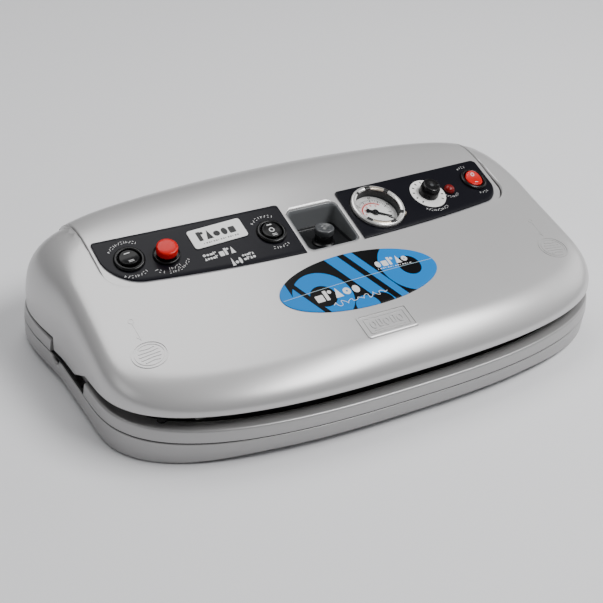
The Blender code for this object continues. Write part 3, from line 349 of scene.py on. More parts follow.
# --------------------------------------------------------------- piece builders
class Shape:
    """Collects faces in mm and becomes one named piece."""

    def __init__(self):
        self.bm = bmesh.new()

    def grid(self, rows, wrap=False):
        made = [[self.bm.verts.new(p) for p in row] for row in rows]
        n = len(made[0])
        for a, b in zip(made, made[1:]):
            for i in range(n if wrap else n - 1):
                j = (i + 1) % n
                self.bm.faces.new((a[i], a[j], b[j], b[i]))
        return made

    def cap(self, ring, point):
        c = self.bm.verts.new(point)
        for i, v in enumerate(ring):
            self.bm.faces.new((v, ring[(i + 1) % len(ring)], c))

    def closed(self, rows, first, last):
        """A solid through a row of loops, closed to a point at each end."""
        made = self.grid(rows, wrap=True)
        self.cap(made[0], first)
        self.cap(made[-1], last)

    def bar(self, rows):
        """A closed bar through a row of loops, with one face at each end."""
        made = self.grid(rows, wrap=True)
        self.bm.faces.new(made[0])
        self.bm.faces.new(made[-1])

    def ribbon(self, pts, width, place, base=0.0, height=0.06, closed=False):
        """A thin raised line of the given width along a path of plan points."""
        n = len(pts)
        rows = []
        for i, (x, y) in enumerate(pts):
            a = pts[i - 1] if (closed or i) else pts[i]
            b = pts[(i + 1) % n] if (closed or i < n - 1) else pts[i]
            tx, ty = b[0] - a[0], b[1] - a[1]
            length = math.hypot(tx, ty) or 1.0
            ox, oy = -ty / length * width / 2, tx / length * width / 2
            rows.append([place(x + ox, y + oy, base), place(x + ox, y + oy, base + height),
                         place(x - ox, y - oy, base + height), place(x - ox, y - oy, base)])
        if closed:
            self.grid(rows + [rows[0]], wrap=True)
        else:
            self.bar(rows)

    def spoke(self, degrees, r0, r1, width, place, height=0.05):
        """A short raised line that points away from the centre."""
        self.ribbon([polar(r0, degrees), polar(r1, degrees)], width, place, 0.0, height)

    def slab(self, outline, place, base, height):
        self.bar([[place(x, y, h) for x, y in outline] for h in (base, base + height)])

    def lathe(self, profile, place, segments=64, ribs=None):
        """Turn a closed (radius, height) outline; ribs(angle, r, z) may change the radius."""
        rows = []
        for r, z in profile:
            row = []
            for i in range(segments):
                a = 2 * math.pi * i / segments
                q = ribs(a, r, z) if ribs else r
                row.append(place(q * math.cos(a), q * math.sin(a), z))
            rows.append(row)
        self.grid(rows + [rows[0]], wrap=True)

    def build(self, name):
        bmesh.ops.scale(self.bm, vec=(MM, MM, MM), verts=self.bm.verts)
        mesh = bpy.data.meshes.new(name)
        self.bm.to_mesh(mesh)
        self.bm.free()
        obj = bpy.data.objects.new(name, mesh)
        bpy.context.scene.collection.objects.link(obj)
        return obj

    def done(self, name, look, body="housing", sharp=60.0, bevel=0.0, replaces=None):
        bmesh.ops.remove_doubles(self.bm, verts=self.bm.verts, dist=1e-5)
        bmesh.ops.dissolve_degenerate(self.bm, edges=self.bm.edges, dist=1e-5)
        bmesh.ops.recalc_face_normals(self.bm, faces=self.bm.faces)
        for f in self.bm.faces:
            f.smooth = True
        for e in self.bm.edges:
            if len(e.link_faces) == 2:
                e.smooth = e.calc_face_angle(0.0) < math.radians(sharp)
        obj = self.build(name)
        obj.data.materials.append(look.mat)
        if bevel:
            mod = obj.modifiers.new("edges", "BEVEL")
            mod.width = bevel * MM
            mod.segments = 2
            mod.limit_method = "ANGLE"
            mod.angle_limit = math.radians(40.0)
        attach(obj, body)
        if replaces:
            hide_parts(replaces)
            paint_node(replaces, look)
        return obj


def turned(name, look, place, segments, profile, sharp=45.0, body="housing",
           replaces=None, ribs=None):
    """One lathed piece."""
    shape = Shape()
    shape.lathe(profile, place, segments, ribs)
    shape.done(name, look, body, sharp, replaces=replaces)


def polar(r, degrees):
    a = math.radians(degrees)
    return r * math.cos(a), r * math.sin(a)


def oval(cx, cy, ax, ay, steps=48):
    angles = [2 * math.pi * i / steps for i in range(steps)]
    return [(cx + ax * math.cos(a), cy + ay * math.sin(a)) for a in angles]


def round_box(cx, cy, hx, hy, radius, steps=5):
    pts = []
    for sx, sy, start in ((1, -1, -90), (1, 1, 0), (-1, 1, 90), (-1, -1, 180)):
        for i in range(steps + 1):
            x, y = polar(radius, start + 90.0 * i / steps)
            pts.append((cx + sx * (hx - radius) + x, cy + sy * (hy - radius) + y))
    return pts


# ------------------------------------------------------------ plan of the body
def resample(pts, count):
    """Points at equal distances along a path."""
    run = [0.0]
    for p, q in zip(pts, pts[1:]):
        run.append(run[-1] + math.hypot(q[0] - p[0], q[1] - p[1]))
    out = []
    k = 0
    for i in range(count + 1):
        goal = run[-1] * i / count
        while k < len(pts) - 2 and run[k + 1] < goal:
            k += 1
        f = (goal - run[k]) / ((run[k + 1] - run[k]) or 1.0)
        p, q = pts[k], pts[k + 1]
        out.append((p[0] + (q[0] - p[0]) * f, p[1] + (q[1] - p[1]) * f))
    return out


def squircle(a, b, power, count):
    angles = [math.pi / 2 * i / 1200 for i in range(1201)]
    return resample([(a * math.sin(t) ** (2 / power), b * math.cos(t) ** (2 / power))
                     for t in angles], count)


CHEEK_TOP_FRONT, CHEEK_FRONT, CHEEK_REAR, Z_CHEEK = -28.0, -8.0, 28.8, 21.5
SIDE_STOPS = (-40, -37, -34, -31, -29, -28, -26, -23, -20, -17, -14, -11, -8, -6, 0, 6, 12,
              18, 24, 27, 28.2, 28.8, 29.1, 29.4, 30.2, 31, 34, 38, 42, 47, 53, 58)
# middle, depth, power, inset and roll of the plan's two curved ends
FRONT_END = (Y_FRONT_MID, Y_FRONT_MID - Y_FRONT, PLAN_POWER, IN_FRONT, ROLL_FRONT)
REAR_END = (Y_REAR_MID, Y_REAR - Y_REAR_MID, REAR_POWER, IN_REAR, ROLL_REAR)


def half_plan():
    pts = [(x, Y_FRONT_MID - d) for x, d in squircle(HALF_W, FRONT_END[1], PLAN_POWER, 60)]
    pts += [(half_width(y), y) for y in SIDE_STOPS]
    rear = squircle(HALF_W + REAR_SPREAD, REAR_END[1], REAR_POWER, 44)
    return pts + [(x, Y_REAR_MID + d) for x, d in reversed(rear)]


RIGHT = half_plan()
PLAN = RIGHT + [(-x, y) for x, y in reversed(RIGHT[1:-1])]


def end_of(y):
    """The curved end that y lies in, or None along the straight sides."""
    if y <= Y_FRONT_MID:
        return FRONT_END
    return REAR_END if y >= Y_REAR_MID else None


def inset_point(x, y, gap_x, gap_y):
    half, end = half_width(y), end_of(y)
    if end:
        mid, depth = end[:2]
        y = mid + (y - mid) * (depth - gap_y) / depth
    return x * (half - gap_x) / half, y


def plan_normal(x, y):
    """Outward direction of the outline at a plan point."""
    end = end_of(y)
    if not end:
        return math.copysign(1.0, x), 0.0
    half = half_width(y)
    mid, depth, power = end[:3]
    gx = abs(x / half) ** (power - 1) / half
    gy = abs((y - mid) / depth) ** (power - 1) / depth
    length = math.hypot(gx, gy) or 1.0
    return math.copysign(gx / length, x), math.copysign(gy / length, y - mid)


def bend(x, y):
    """Power of the rolled edge: round at the front, squarer at the sides."""
    return 2.0 / (2.0 + plan_normal(x, y)[0] ** 2)


def height_at(x, y, base=Z_WALL):
    """Height of the upper body over any plan point, its rolled edges included."""
    end = end_of(y)

    def reach(c):
        across = half_width(y) - IN_SIDE - c * side_roll(y)
        if not end:
            return abs(x) / across
        mid, depth, power, edge, roll = end
        along = depth - edge - c * roll
        return (abs(x) / across) ** power + (abs(y - mid) / along) ** power

    top = top_height(x, y)
    if reach(1.0) <= 1.0:
        return top
    low, high = 0.0, 1.0
    for _ in range(26):
        c = (low + high) / 2
        if reach(c) <= 1.0:
            low = c
        else:
            high = c
    k = bend(x, y)
    cosa = (1.0 - low) ** (1.0 / k)
    return base + (top - base) * math.sqrt(max(0.0, 1.0 - cosa * cosa)) ** k


def seam_outline(grow):
    """Right half of the housing's front seam, from the middle to the side."""
    half, radius = 184.4 + grow, 16.0 + grow
    inner = half - radius
    xs = [inner * i / 40.0 for i in range(41)]
    xs += [inner + radius * math.sin(math.radians(a)) for a in range(6, 91, 6)]
    return [(x, -18.8 - grow + 6.3e-4 * x * x + round_off(radius, max(0.0, x - inner)))
            for x in xs]


def make_lid():
    """The rounded front lid, its side cheeks and the arms beside the housing."""
    seam_side, side_turn = 185.4, 22.0
    wall, lip, steps, tail = 2.6, 0.9, 16, 10
    low_edge = [(-200.0, 32.3), (CHEEK_TOP_FRONT - 1.0, 32.3), (CHEEK_FRONT, Z_CHEEK),
                (CHEEK_REAR, Z_CHEEK), (CHEEK_REAR + 0.6, 33.0), (70.0, 33.0), (200.0, 44.3)]
    front_count = sum(y <= side_turn for _, y in RIGHT)
    seam_front = resample(seam_outline(1.0) + [(seam_side, side_turn)], front_count - 1)
    rows = []
    for i, (x, y) in enumerate(RIGHT):
        low = between(low_edge, y)
        base = max(Z_WALL, low + 1.0)
        gap_y, roll_y = (IN_FRONT, ROLL_FRONT) if y < 0 else (IN_REAR, ROLL_REAR)
        k = bend(x, y)
        seam = seam_front[i] if i < front_count else None
        if seam is None and inset_point(x, y, IN_SIDE, gap_y)[0] <= seam_side + 2.0:
            break
        outer = [inset_point(x, y, IN_SIDE + d, gap_y + d) + (low + rise,)
                 for d, rise in ((1.1, 0.0), (0.35, 0.30), (0.0, 1.0))]
        for s in range(steps + 1):
            a = math.pi / 2 * s / steps
            c = 1.0 - max(0.0, math.cos(a)) ** k
            px, py = inset_point(x, y, IN_SIDE + side_roll(y) * c, gap_y + roll_y * c)
            if seam is None and px < seam_side:
                break
            outer.append((px, py, base + (top_height(px, py) - base) * math.sin(a) ** k))
        qx, qy, _ = outer[-1]
        if seam is None:
            seam = (seam_side, qy)
            outer += [outer[-1]] * (3 + steps + 1 - len(outer))
        for j in range(1, tail + 1):
            px, py = qx + (seam[0] - qx) * j / tail, qy + (seam[1] - qy) * j / tail
            outer.append((px, py, height_at(px, py, base)))
        qx, qy, qz = outer[-1]
        vx, vy = outer[-2][0] - qx, outer[-2][1] - qy
        length = math.hypot(vx, vy) or 1.0
        outer[-1:] = [(qx + vx / length * back, qy + vy / length * back, qz - drop)
                      for back, drop in ((lip, 0.0), (0.26, 0.26), (0.0, lip))]
        inner = [(qx, qy, qz - wall)]
        wx, wy = inset_point(x, y, IN_SIDE + wall, gap_y + wall)
        for px, py, pz in outer[-4:1:-1]:
            f = min(1.0, max(0.0, (pz - base) / 12.0))
            inner.append((px * f + wx * (1 - f), py * f + wy * (1 - f),
                          max(low + 0.4, pz - wall * max(0.05, f))))
        inner.append((wx, wy, low))
        rows.append([raised(Vector(p)) for p in outer + inner])
    left = [[Vector((-p.x, p.y, p.z)) for p in row] for row in reversed(rows[1:])]
    shape = Shape()
    shape.bar(left + rows)
    shape.done("lid_skin", SILVER, "lid", sharp=40.0, replaces="lid_shell")


def cut(obj, cutters):
    """Apply exact cuts to a finished piece."""
    for tool in cutters:
        mod = obj.modifiers.new("cut", "BOOLEAN")
        mod.operation = "DIFFERENCE"
        mod.solver = "EXACT"
        mod.object = tool
        bpy.context.view_layer.update()
        graph = bpy.context.evaluated_depsgraph_get()
        mesh = bpy.data.meshes.new_from_object(obj.evaluated_get(graph))
        obj.modifiers.remove(mod)
        old = obj.data
        obj.data = mesh
        bpy.data.meshes.remove(old)
        bpy.data.objects.remove(tool, do_unlink=True)
    for poly in obj.data.polygons:
        poly.use_smooth = True


def cutter(outline, z0, z1, place=upright):
    shape = Shape()
    shape.slab(outline, place, z0, z1 - z0)
    bmesh.ops.recalc_face_normals(shape.bm, faces=shape.bm.faces)
    return shape.build("cutter")


CONTROLS = {"mode": (-160.5, 24.5), "source": (-44.8, 12.3), "power": (162.6, 26.3),
            "start": (-132.5, 18.5), "gauge": (54.6, 12.5), "timer": (108.8, 17.7),
            "lamp": (131.4, 18.5)}
BORES = {"mode": 10.4, "source": 10.4, "power": 10.4, "start": 7.4, "gauge": 20.9,
         "timer": 4.4, "lamp": 3.8}
WELL_HALF, WELL_FRONT, WELL_BACK = 23.8, -14.0, 30.5
WELL_MID = (WELL_FRONT + WELL_BACK) / 2


def bore(key, margin=0.0):
    """A cutter for the hole that a control sits in."""
    r = BORES[key] - margin
    return cutter(oval(0, 0, r, r), -30, 12, local(surface_frame(*CONTROLS[key])))


def make_cover():
    """The fixed housing skin: front seam to the rear wall, in one smooth sheet."""
    half, wall, lip, steps = 184.4, 2.6, 0.9, 60
    seam = seam_outline(0.0)
    xs = [half - d for d in (0.0, 0.08, 0.3, 0.7, 1.2, 2.4, 4.0, 6.0, 8.5, 11.0, 14.0, 17.0)]
    xs += [half - 17.0 - (half - 17.0) * i / 40.0 for i in range(1, 41)]
    xs += [-x for x in reversed(xs[:-1])]
    rows = []
    for x in xs:
        start = between(seam, abs(x))
        a = HALF_W + REAR_SPREAD - IN_SIDE
        b = Y_REAR - Y_REAR_MID - IN_REAR
        edge = Y_REAR_MID + b * (1.0 - (abs(x) / a) ** REAR_POWER) ** (1.0 / REAR_POWER)
        side_drop = lip * round_off(1.0, max(0.0, 1.0 - (half - abs(x)) / lip))
        outer = []
        for d in (0.0, 0.08, 0.28, 0.6, lip):
            drop = max(side_drop, lip * round_off(1.0, 1.0 - d / lip))
            outer.append((x, start + d, height_at(x, start + d) - drop))
        for j in range(1, steps + 1):
            y = start + lip + (edge - start - lip) * math.sin(math.pi / 2 * j / steps) ** 1.15
            z = height_at(x, y) if j < steps else Z_WALL
            outer.append((x, y, z - side_drop))
        inner = [(x, edge - wall, 32.0)]
        for _, py, pz in reversed(outer):
            f = min(1.0, max(0.0, (edge - py) / 30.0))
            inner.append((x, min(py, edge - wall), max(32.1, pz - wall - 3.0 * (1 - f))))
        outer += [(x, edge, 32.9), (x, edge - 0.3, 32.2), (x, edge - 0.9, 32.0)]
        rows.append([Vector(p) for p in outer + inner])
    shape = Shape()
    shape.bar(rows)
    obj = shape.done("housing_skin", SILVER, sharp=50.0, replaces="rear_cover")
    well = round_box(0, WELL_MID, WELL_HALF, (WELL_BACK - WELL_FRONT) / 2, 6.0, 8)
    cutters = [cutter(well, 50, 130)] + [bore(key) for key in CONTROLS]
    cut(obj, cutters + [cutter(round_box(-100, 130, 15.4, 20, 2.0), 38.0, 62.8)])


def make_base_skins():
    """Lower shell and rim frame, with soft edges at the parting line and rim."""
    def skirt(lift):
        def z(px, py):
            corner = smooth_step(110.0, 195.0, abs(px)) * smooth_step(35.0, 75.0, -py)
            return 4.6 + lift - 4.4 * corner * (1.0 - lift / 16.0)
        return z

    def ring(depth, front, z):
        out = []
        for x, y in PLAN:
            gap = depth + front * max(0.0, -plan_normal(x, y)[1]) ** 4
            px, py = inset_point(x, y, gap, gap)
            out.append(Vector((px, py, z(px, py) if callable(z) else z)))
        return out

    shape = Shape()
    rings = [ring(*r) for r in (
        (8.0, 3.0, 4.0), (3.0, 3.4, skirt(-0.25)), (1.6, 3.6, skirt(0.1)),
        (0.7, 3.4, skirt(0.8)), (0.2, 3.0, skirt(1.9)), (0.1, 1.5, 12.4), (0.0, 0.15, 19.3),
        (0.08, 0.1, 19.9), (0.45, 0.1, 20.26), (2.6, 0.1, 20.3), (4.4, 3.0, 8.8),
        (12.0, 3.0, 7.0))]
    shape.closed(rings, Vector((0, 0, 4.0)), Vector((0, 0, 7.0)))
    obj = shape.done("lower_shell_skin", SHADED_SILVER_BASE, sharp=50.0,
                     replaces="base_lower_shell")
    sideways = Matrix.Rotation(math.pi / 2, 4, "Y")
    cut(obj, [cutter(oval(0, 0, 6.0, 6.0, 40), -9, 9,
                     local(Matrix.Translation((sx * HALF_W, 22.0, 20.9)) @ sideways))
              for sx in (-1, 1)])

    def frame_ring(depth, z):
        out = []
        for x, y in PLAN:
            cheek = -29.5 < y < CHEEK_REAR + 1.8
            gap = max(depth, 7.4 + depth * 0.2) if cheek else depth
            out.append(Vector((*inset_point(x, y, gap, gap), z)))
        return out

    shape = Shape()
    rings = [frame_ring(depth, z) for depth, z in (
        (2.0, 21.2), (0.45, 21.22), (0.08, 21.6), (0.0, 22.3), (0.5, 26.5), (0.75, 29.9),
        (0.95, 30.7), (1.35, 31.3), (1.9, 31.6), (2.6, 31.7), (4.2, 31.6), (13.0, 30.8),
        (13.4, 28.5), (11.4, 28.3), (11.0, 21.2))]
    shape.grid(rings + [rings[0]], wrap=True)
    shape.done("rim_skin", SHADED_SILVER_BASE, sharp=50.0, replaces="base_upper_frame")
    # A black ring just inside the parting groove: painted shadow that darkens the seam between the
    # lower shell and the rim frame.
    shape = Shape()
    rings = [ring(depth, 0.1, z) for depth, z in ((0.75, 20.32), (0.65, 20.5), (0.65, 21.0),
                                                  (0.75, 21.18), (2.4, 21.18), (2.4, 20.32))]
    shape.grid(rings + [rings[0]], wrap=True)
    shape.done("parting_groove_shadow", RUBBER, sharp=50.0)


make_lid()
make_cover()
make_base_skins()


# --------------------------------------------------------------- black panels
LEFT_FILM = (182.0, 26.0, 2.6, 6.9e-4)
RIGHT_FILM = (179.0, 18.0, 5.0, 6.3e-4)
PANEL_START, PANEL_CORNER = 26.9, 3.0


def seat(key, turn=0.0, axis="Z"):
    """Map from a control's own axes, turned by some degrees, to the world."""
    turned_by = Matrix.Rotation(math.radians(turn), 4, axis)
    return local(surface_frame(*CONTROLS[key], PANEL_TOP) @ turned_by)


def panel_edges(x, out, corner, rear_corner, front_arc):
    """Front and back y of a black panel at a distance x from the middle."""
    front = -15.4 + front_arc * x * x
    back = Y_PANEL + 3.95e-4 * x * x
    if out - x < corner:
        front += round_off(corner, corner - (out - x))
    if out - x < rear_corner:
        back -= round_off(rear_corner, rear_corner - (out - x))
    if x - PANEL_START < PANEL_CORNER:
        back -= round_off(PANEL_CORNER, PANEL_CORNER - (x - PANEL_START))
    return front, back


def make_panel(side, sign, film):
    out, corner = film[:2]
    turn = [math.radians(a) for a in range(0, 90, 6)]
    straight = PANEL_START + PANEL_CORNER
    stops = [PANEL_START + PANEL_CORNER * (1 - math.cos(a)) for a in turn]
    stops += [straight + (out - corner - straight) * i / 46.0 for i in range(46)]
    stops += [out - corner + corner * math.sin(a) for a in turn] + [out - 0.4, out - 0.03]
    drops = [0.3, 0.09] + [0.0] * 13 + [0.09, 0.3]
    rows = []
    for x in stops:
        front, back = panel_edges(x, *film)
        end_drop = 0.3 * (1 - min(1.0, (x - PANEL_START) / 0.3, (out - x) / 0.3))
        rim = min(0.3, (back - front) / 2.2)
        ys = [front, front + rim * 0.3, front + rim]
        ys += [front + rim + (back - front - 2 * rim) * j / 12.0 for j in range(1, 12)]
        ys += [back - rim, back - rim * 0.3, back]
        top = [on_panel(sign * x, y, -max(d, end_drop)) for y, d in zip(ys, drops)]
        low = [Vector((sign * x, y, skin(x, y) + 0.42)) for y in (back, (front + back) / 2, front)]
        rows.append(top + low)
    shape = Shape()
    shape.bar(rows)
    name = "panel_film_" + side
    obj = shape.done(name, PANEL, replaces="panel_" + side)
    cut(obj, [bore(key, 0.1) for key in CONTROLS if CONTROLS[key][0] * sign > 0])
    line = Shape()
    path = [(sign * x, panel_edges(x, *film)[0]) for x in stops]
    path += [(sign * x, panel_edges(x, *film)[1]) for x in reversed(stops)]
    line.ribbon(path, 0.34, lambda x, y, h: Vector((x, y, skin(x, y) + h)), 0.1, 0.5,
                closed=True)
    line.done(name + "_edge", PALE_EDGE, sharp=80.0)


make_panel("left", -1, LEFT_FILM)
make_panel("right", 1, RIGHT_FILM)


# ----------------------------------------------- rocker switches, start button
def crown(y):
    return 2.35 + 1.05 * min(1.0, (abs(y) / 7.4) ** 1.7)


def make_rocker(key, look, tilt, bars, circle=None):
    """One rocker switch; bars and circle are (y, half size, line width) of its marks."""
    turned(key + "_surround", GLOSS, seat(key), 96,
           [(9.9, -16.8), (9.9, 0.05), (12.0, 0.05), (12.2, 0.25), (12.2, 0.9),
            (12.05, 1.45), (11.6, 1.95), (11.0, 2.25), (10.3, 2.35), (9.7, 2.25),
            (9.35, 1.95), (9.15, 1.5), (9.05, 0.5), (9.0, -6.5), (0.01, -6.5),
            (0.01, -16.8)], sharp=40.0, replaces=key + "_bezel")
    at = seat(key, tilt, "X")
    rows = [[at(x, y, z) for x, y in oval(0, 0, r, r, 72)]
            for r, z in ((0.0, -5.6), (4.9, -5.6), (7.3, -1.4), (7.95, 1.0), (8.05, 1.8))]
    rows += [[at(x, y, crown(y) - drop) for x, y in oval(0, 0, r, r, 72)]
             for r, drop in ((8.0, 0.75), (7.8, 0.35), (7.5, 0.12), (7.1, 0.02), (6.4, 0.0),
                             (5.4, 0.0), (4.4, 0.0), (3.4, 0.0), (2.4, 0.0), (1.4, 0.0),
                             (0.5, 0.0), (0.0, 0.0))]
    cap = Shape()
    cap.grid(rows, wrap=True)
    body = key + "_switch"
    cap.done(key + "_cap", look, body, sharp=50.0, replaces=key + "_rocker")

    def on_cap(x, y, h):
        return at(x, y, crown(y) + h)

    marks = Shape()
    for y, half, width in bars:
        marks.ribbon([(-half, y), (half, y)], width, on_cap, -0.03, 0.08)
    if circle:
        y, r, width = circle
        marks.ribbon(oval(0.0, y, r, r, 28), width, on_cap, -0.03, 0.08, closed=True)
    marks.done(key + "_cap_marks", PRINT, body, sharp=32.0)


def make_start():
    place = seat("start")
    turned("start_ring", GLOSS, place, 96,
           [(7.0, -19.8), (7.0, 0.05), (10.4, 0.05), (10.6, 0.3), (10.6, 1.3),
            (10.45, 1.85), (10.0, 2.3), (9.6, 2.4), (9.3, 2.2), (9.25, 1.2), (5.0, 1.2),
            (5.0, -12.0), (0.01, -12.0), (0.01, -19.8)], sharp=40.0, replaces="start_collar")
    turned("start_cap", RED, place, 96,
           [(0.01, -8.5), (4.6, -8.5), (4.6, 4.0), (7.7, 4.0), (8.15, 4.15), (8.35, 4.6),
            (8.4, 5.4), (8.4, 8.5), (8.32, 9.1), (8.1, 9.6), (7.7, 9.95), (7.0, 10.18),
            (5.8, 10.36), (4.2, 10.5), (2.4, 10.57), (0.01, 10.6)],
           body="start", replaces="start_button")


make_rocker("mode", SATIN_CAP, -8.0,
            ((4.6, 2.3, 0.75), (-3.6, 2.1, 0.62), (-5.2, 2.1, 0.62)))
make_rocker("source", SATIN_CAP, 0.0,
            ((5.4, 2.1, 0.72), (-4.3, 2.0, 0.6), (-5.9, 2.0, 0.6)), (0.4, 1.9, 0.7))
make_rocker("power", RED, 8.0, ((-4.2, 1.6, 0.62),), (3.9, 1.5, 0.6))
make_start()


# ------------------------------------------------------ prints, as plain shapes
def curved_marks(shape, key, r, a0, a1, count, size, width=0.36):
    """A curved row of small strokes round a control, in place of printed words."""
    cx, cy = CONTROLS[key]
    sign = 1.0 if a1 > a0 else -1.0
    top, half = size / 2, size * 0.30
    strokes = (((-half, -top, -half, top), (-half, 0.0, half, 0.0)),
               ((0.0, -top, 0.0, top),),
               ((-half, top, half, top), (-half, -top, half, -top)),
               ((-half, -top, half, top),))
    for i in range(count):
        ca, sa = polar(1.0, a0 + (a1 - a0) * i / (count - 1))

        def at(u, v):
            far = r - v * sign
            return (cx + far * ca - sa * u * sign, cy + far * sa + ca * u * sign)
        for u0, v0, u1, v1 in strokes[(i * 7 + count) % 4]:
            shape.ribbon([at(u0, v0), at(u1, v1)], width, on_panel)


def block_row(shape, x, y, width, height, cells, place, line, seed):
    """A row of plain blocks, rings and triangles, where the machine has a bold word."""
    step = width / cells
    low, high, thick = y - height / 2, y + height / 2, 0.07
    for i in range(cells):
        x0 = x - width / 2 + step * i + step * 0.07
        x1 = x0 + step * 0.84
        mid = (x0 + x1) / 2
        r = min(x1 - x0, height) / 2
        kind = (i * 3 + seed) % 5
        if kind == 1:
            shape.ribbon(oval(mid, y - (height / 2 - r) * 0.6, r - line / 2, r - line / 2, 28),
                         line, place, 0.0, thick, closed=True)
            continue
        outlines = {
            0: (round_box(x0 + line * 0.6, y, line * 0.6, height / 2, line * 0.2, 2),
                oval(x1 - r * 0.4, high - r * 0.7, r * 0.5, r * 0.5, 20)),
            2: (round_box(mid, low + height * 0.34, (x1 - x0) / 2, height * 0.34, line * 0.3, 3),),
            3: ([(mid - r, low), (mid + r, low), (mid, high)],),
            4: (oval(mid, low + height * 0.38, r * 0.9, height * 0.38, 24),)}
        for outline in outlines[kind]:
            shape.slab(outline, place, 0.0, thick)


def make_prints():
    small = Shape()
    for row in (("mode", 16.6, 134, 50, 12, 2.1), ("mode", 16.6, -122, -62, 8, 2.1),
                ("source", 16.2, 132, 62, 8, 2.1), ("source", 16.4, -108, -62, 6, 2.1),
                ("power", 15.2, 118, 88, 4, 1.7), ("power", 15.4, -96, -66, 4, 1.7),
                ("start", 13.6, -104, -66, 5, 2.0), ("start", 17.0, -104, -36, 10, 2.0),
                ("start", 17.0, -140, -120, 3, 2.2), ("timer", 19.0, -122, -58, 12, 2.0, 0.34),
                ("lamp", 8.0, -150, -40, 9, 1.6, 0.30)):
        curved_marks(small, *row)
    small.done("panel_print", PRINT)
    bold = Shape()
    for x, y, width, height, cells, line, seed in (
            (-101.6, 7.2, 11.5, 2.6, 4, 0.8, 1), (-101.6, 3.4, 11.5, 2.8, 5, 0.8, 3),
            (-87.4, 5.6, 14.0, 6.8, 3, 1.7, 2), (-84.4, -5.2, 9.6, 8.0, 3, 1.1, 3),
            (-73.2, -2.2, 10.4, 2.4, 5, 0.6, 1), (-73.2, -5.8, 10.4, 2.8, 4, 0.9, 2)):
        block_row(bold, x, y, width, height, cells, on_panel, line, seed)
    bold.done("panel_blocks", PRINT)
    flat = local(surface_frame(-86.6, 23.9, PANEL_TOP))
    plate = Shape()
    plate.slab(round_box(0, 0, 22.9, 9.7, 2.4, 8), flat, 0.05, 0.72)
    plate.done("white_plate", WHITE, sharp=32.0, bevel=0.18, replaces="name_plate")

    def on_plate(x, y, h):
        return flat(x, y, 0.76 + h)

    word = Shape()
    block_row(word, -0.5, 1.6, 33.0, 9.6, 5, on_plate, 2.9, 0)
    for i in range(15):
        u = -14.5 + i * 2.05
        word.ribbon([(u, -6.3), (u + 1.2 * (1 if i % 3 else 0.4), -6.3)], 1.1, on_plate, 0.0,
                    0.05)
    word.done("white_plate_marks", INK)


make_prints()


# ----------------------------------------------------------------------- gauge
def ring_part(shape, place, a0, a1, r0, r1, z0, z1, steps=14):
    """A closed block bent round the gauge, with a small chamfer on top."""
    soft = 0.12
    outline = ((r0, z0), (r1, z0), (r1, z1 - soft), (r1 - soft, z1), (r0 + soft, z1),
               (r0, z1 - soft))
    rows = []
    for i in range(steps + 1):
        c, s = polar(1.0, a0 + (a1 - a0) * i / steps)
        rows.append([place(r * c, r * s, z) for r, z in outline])
    shape.bar(rows)


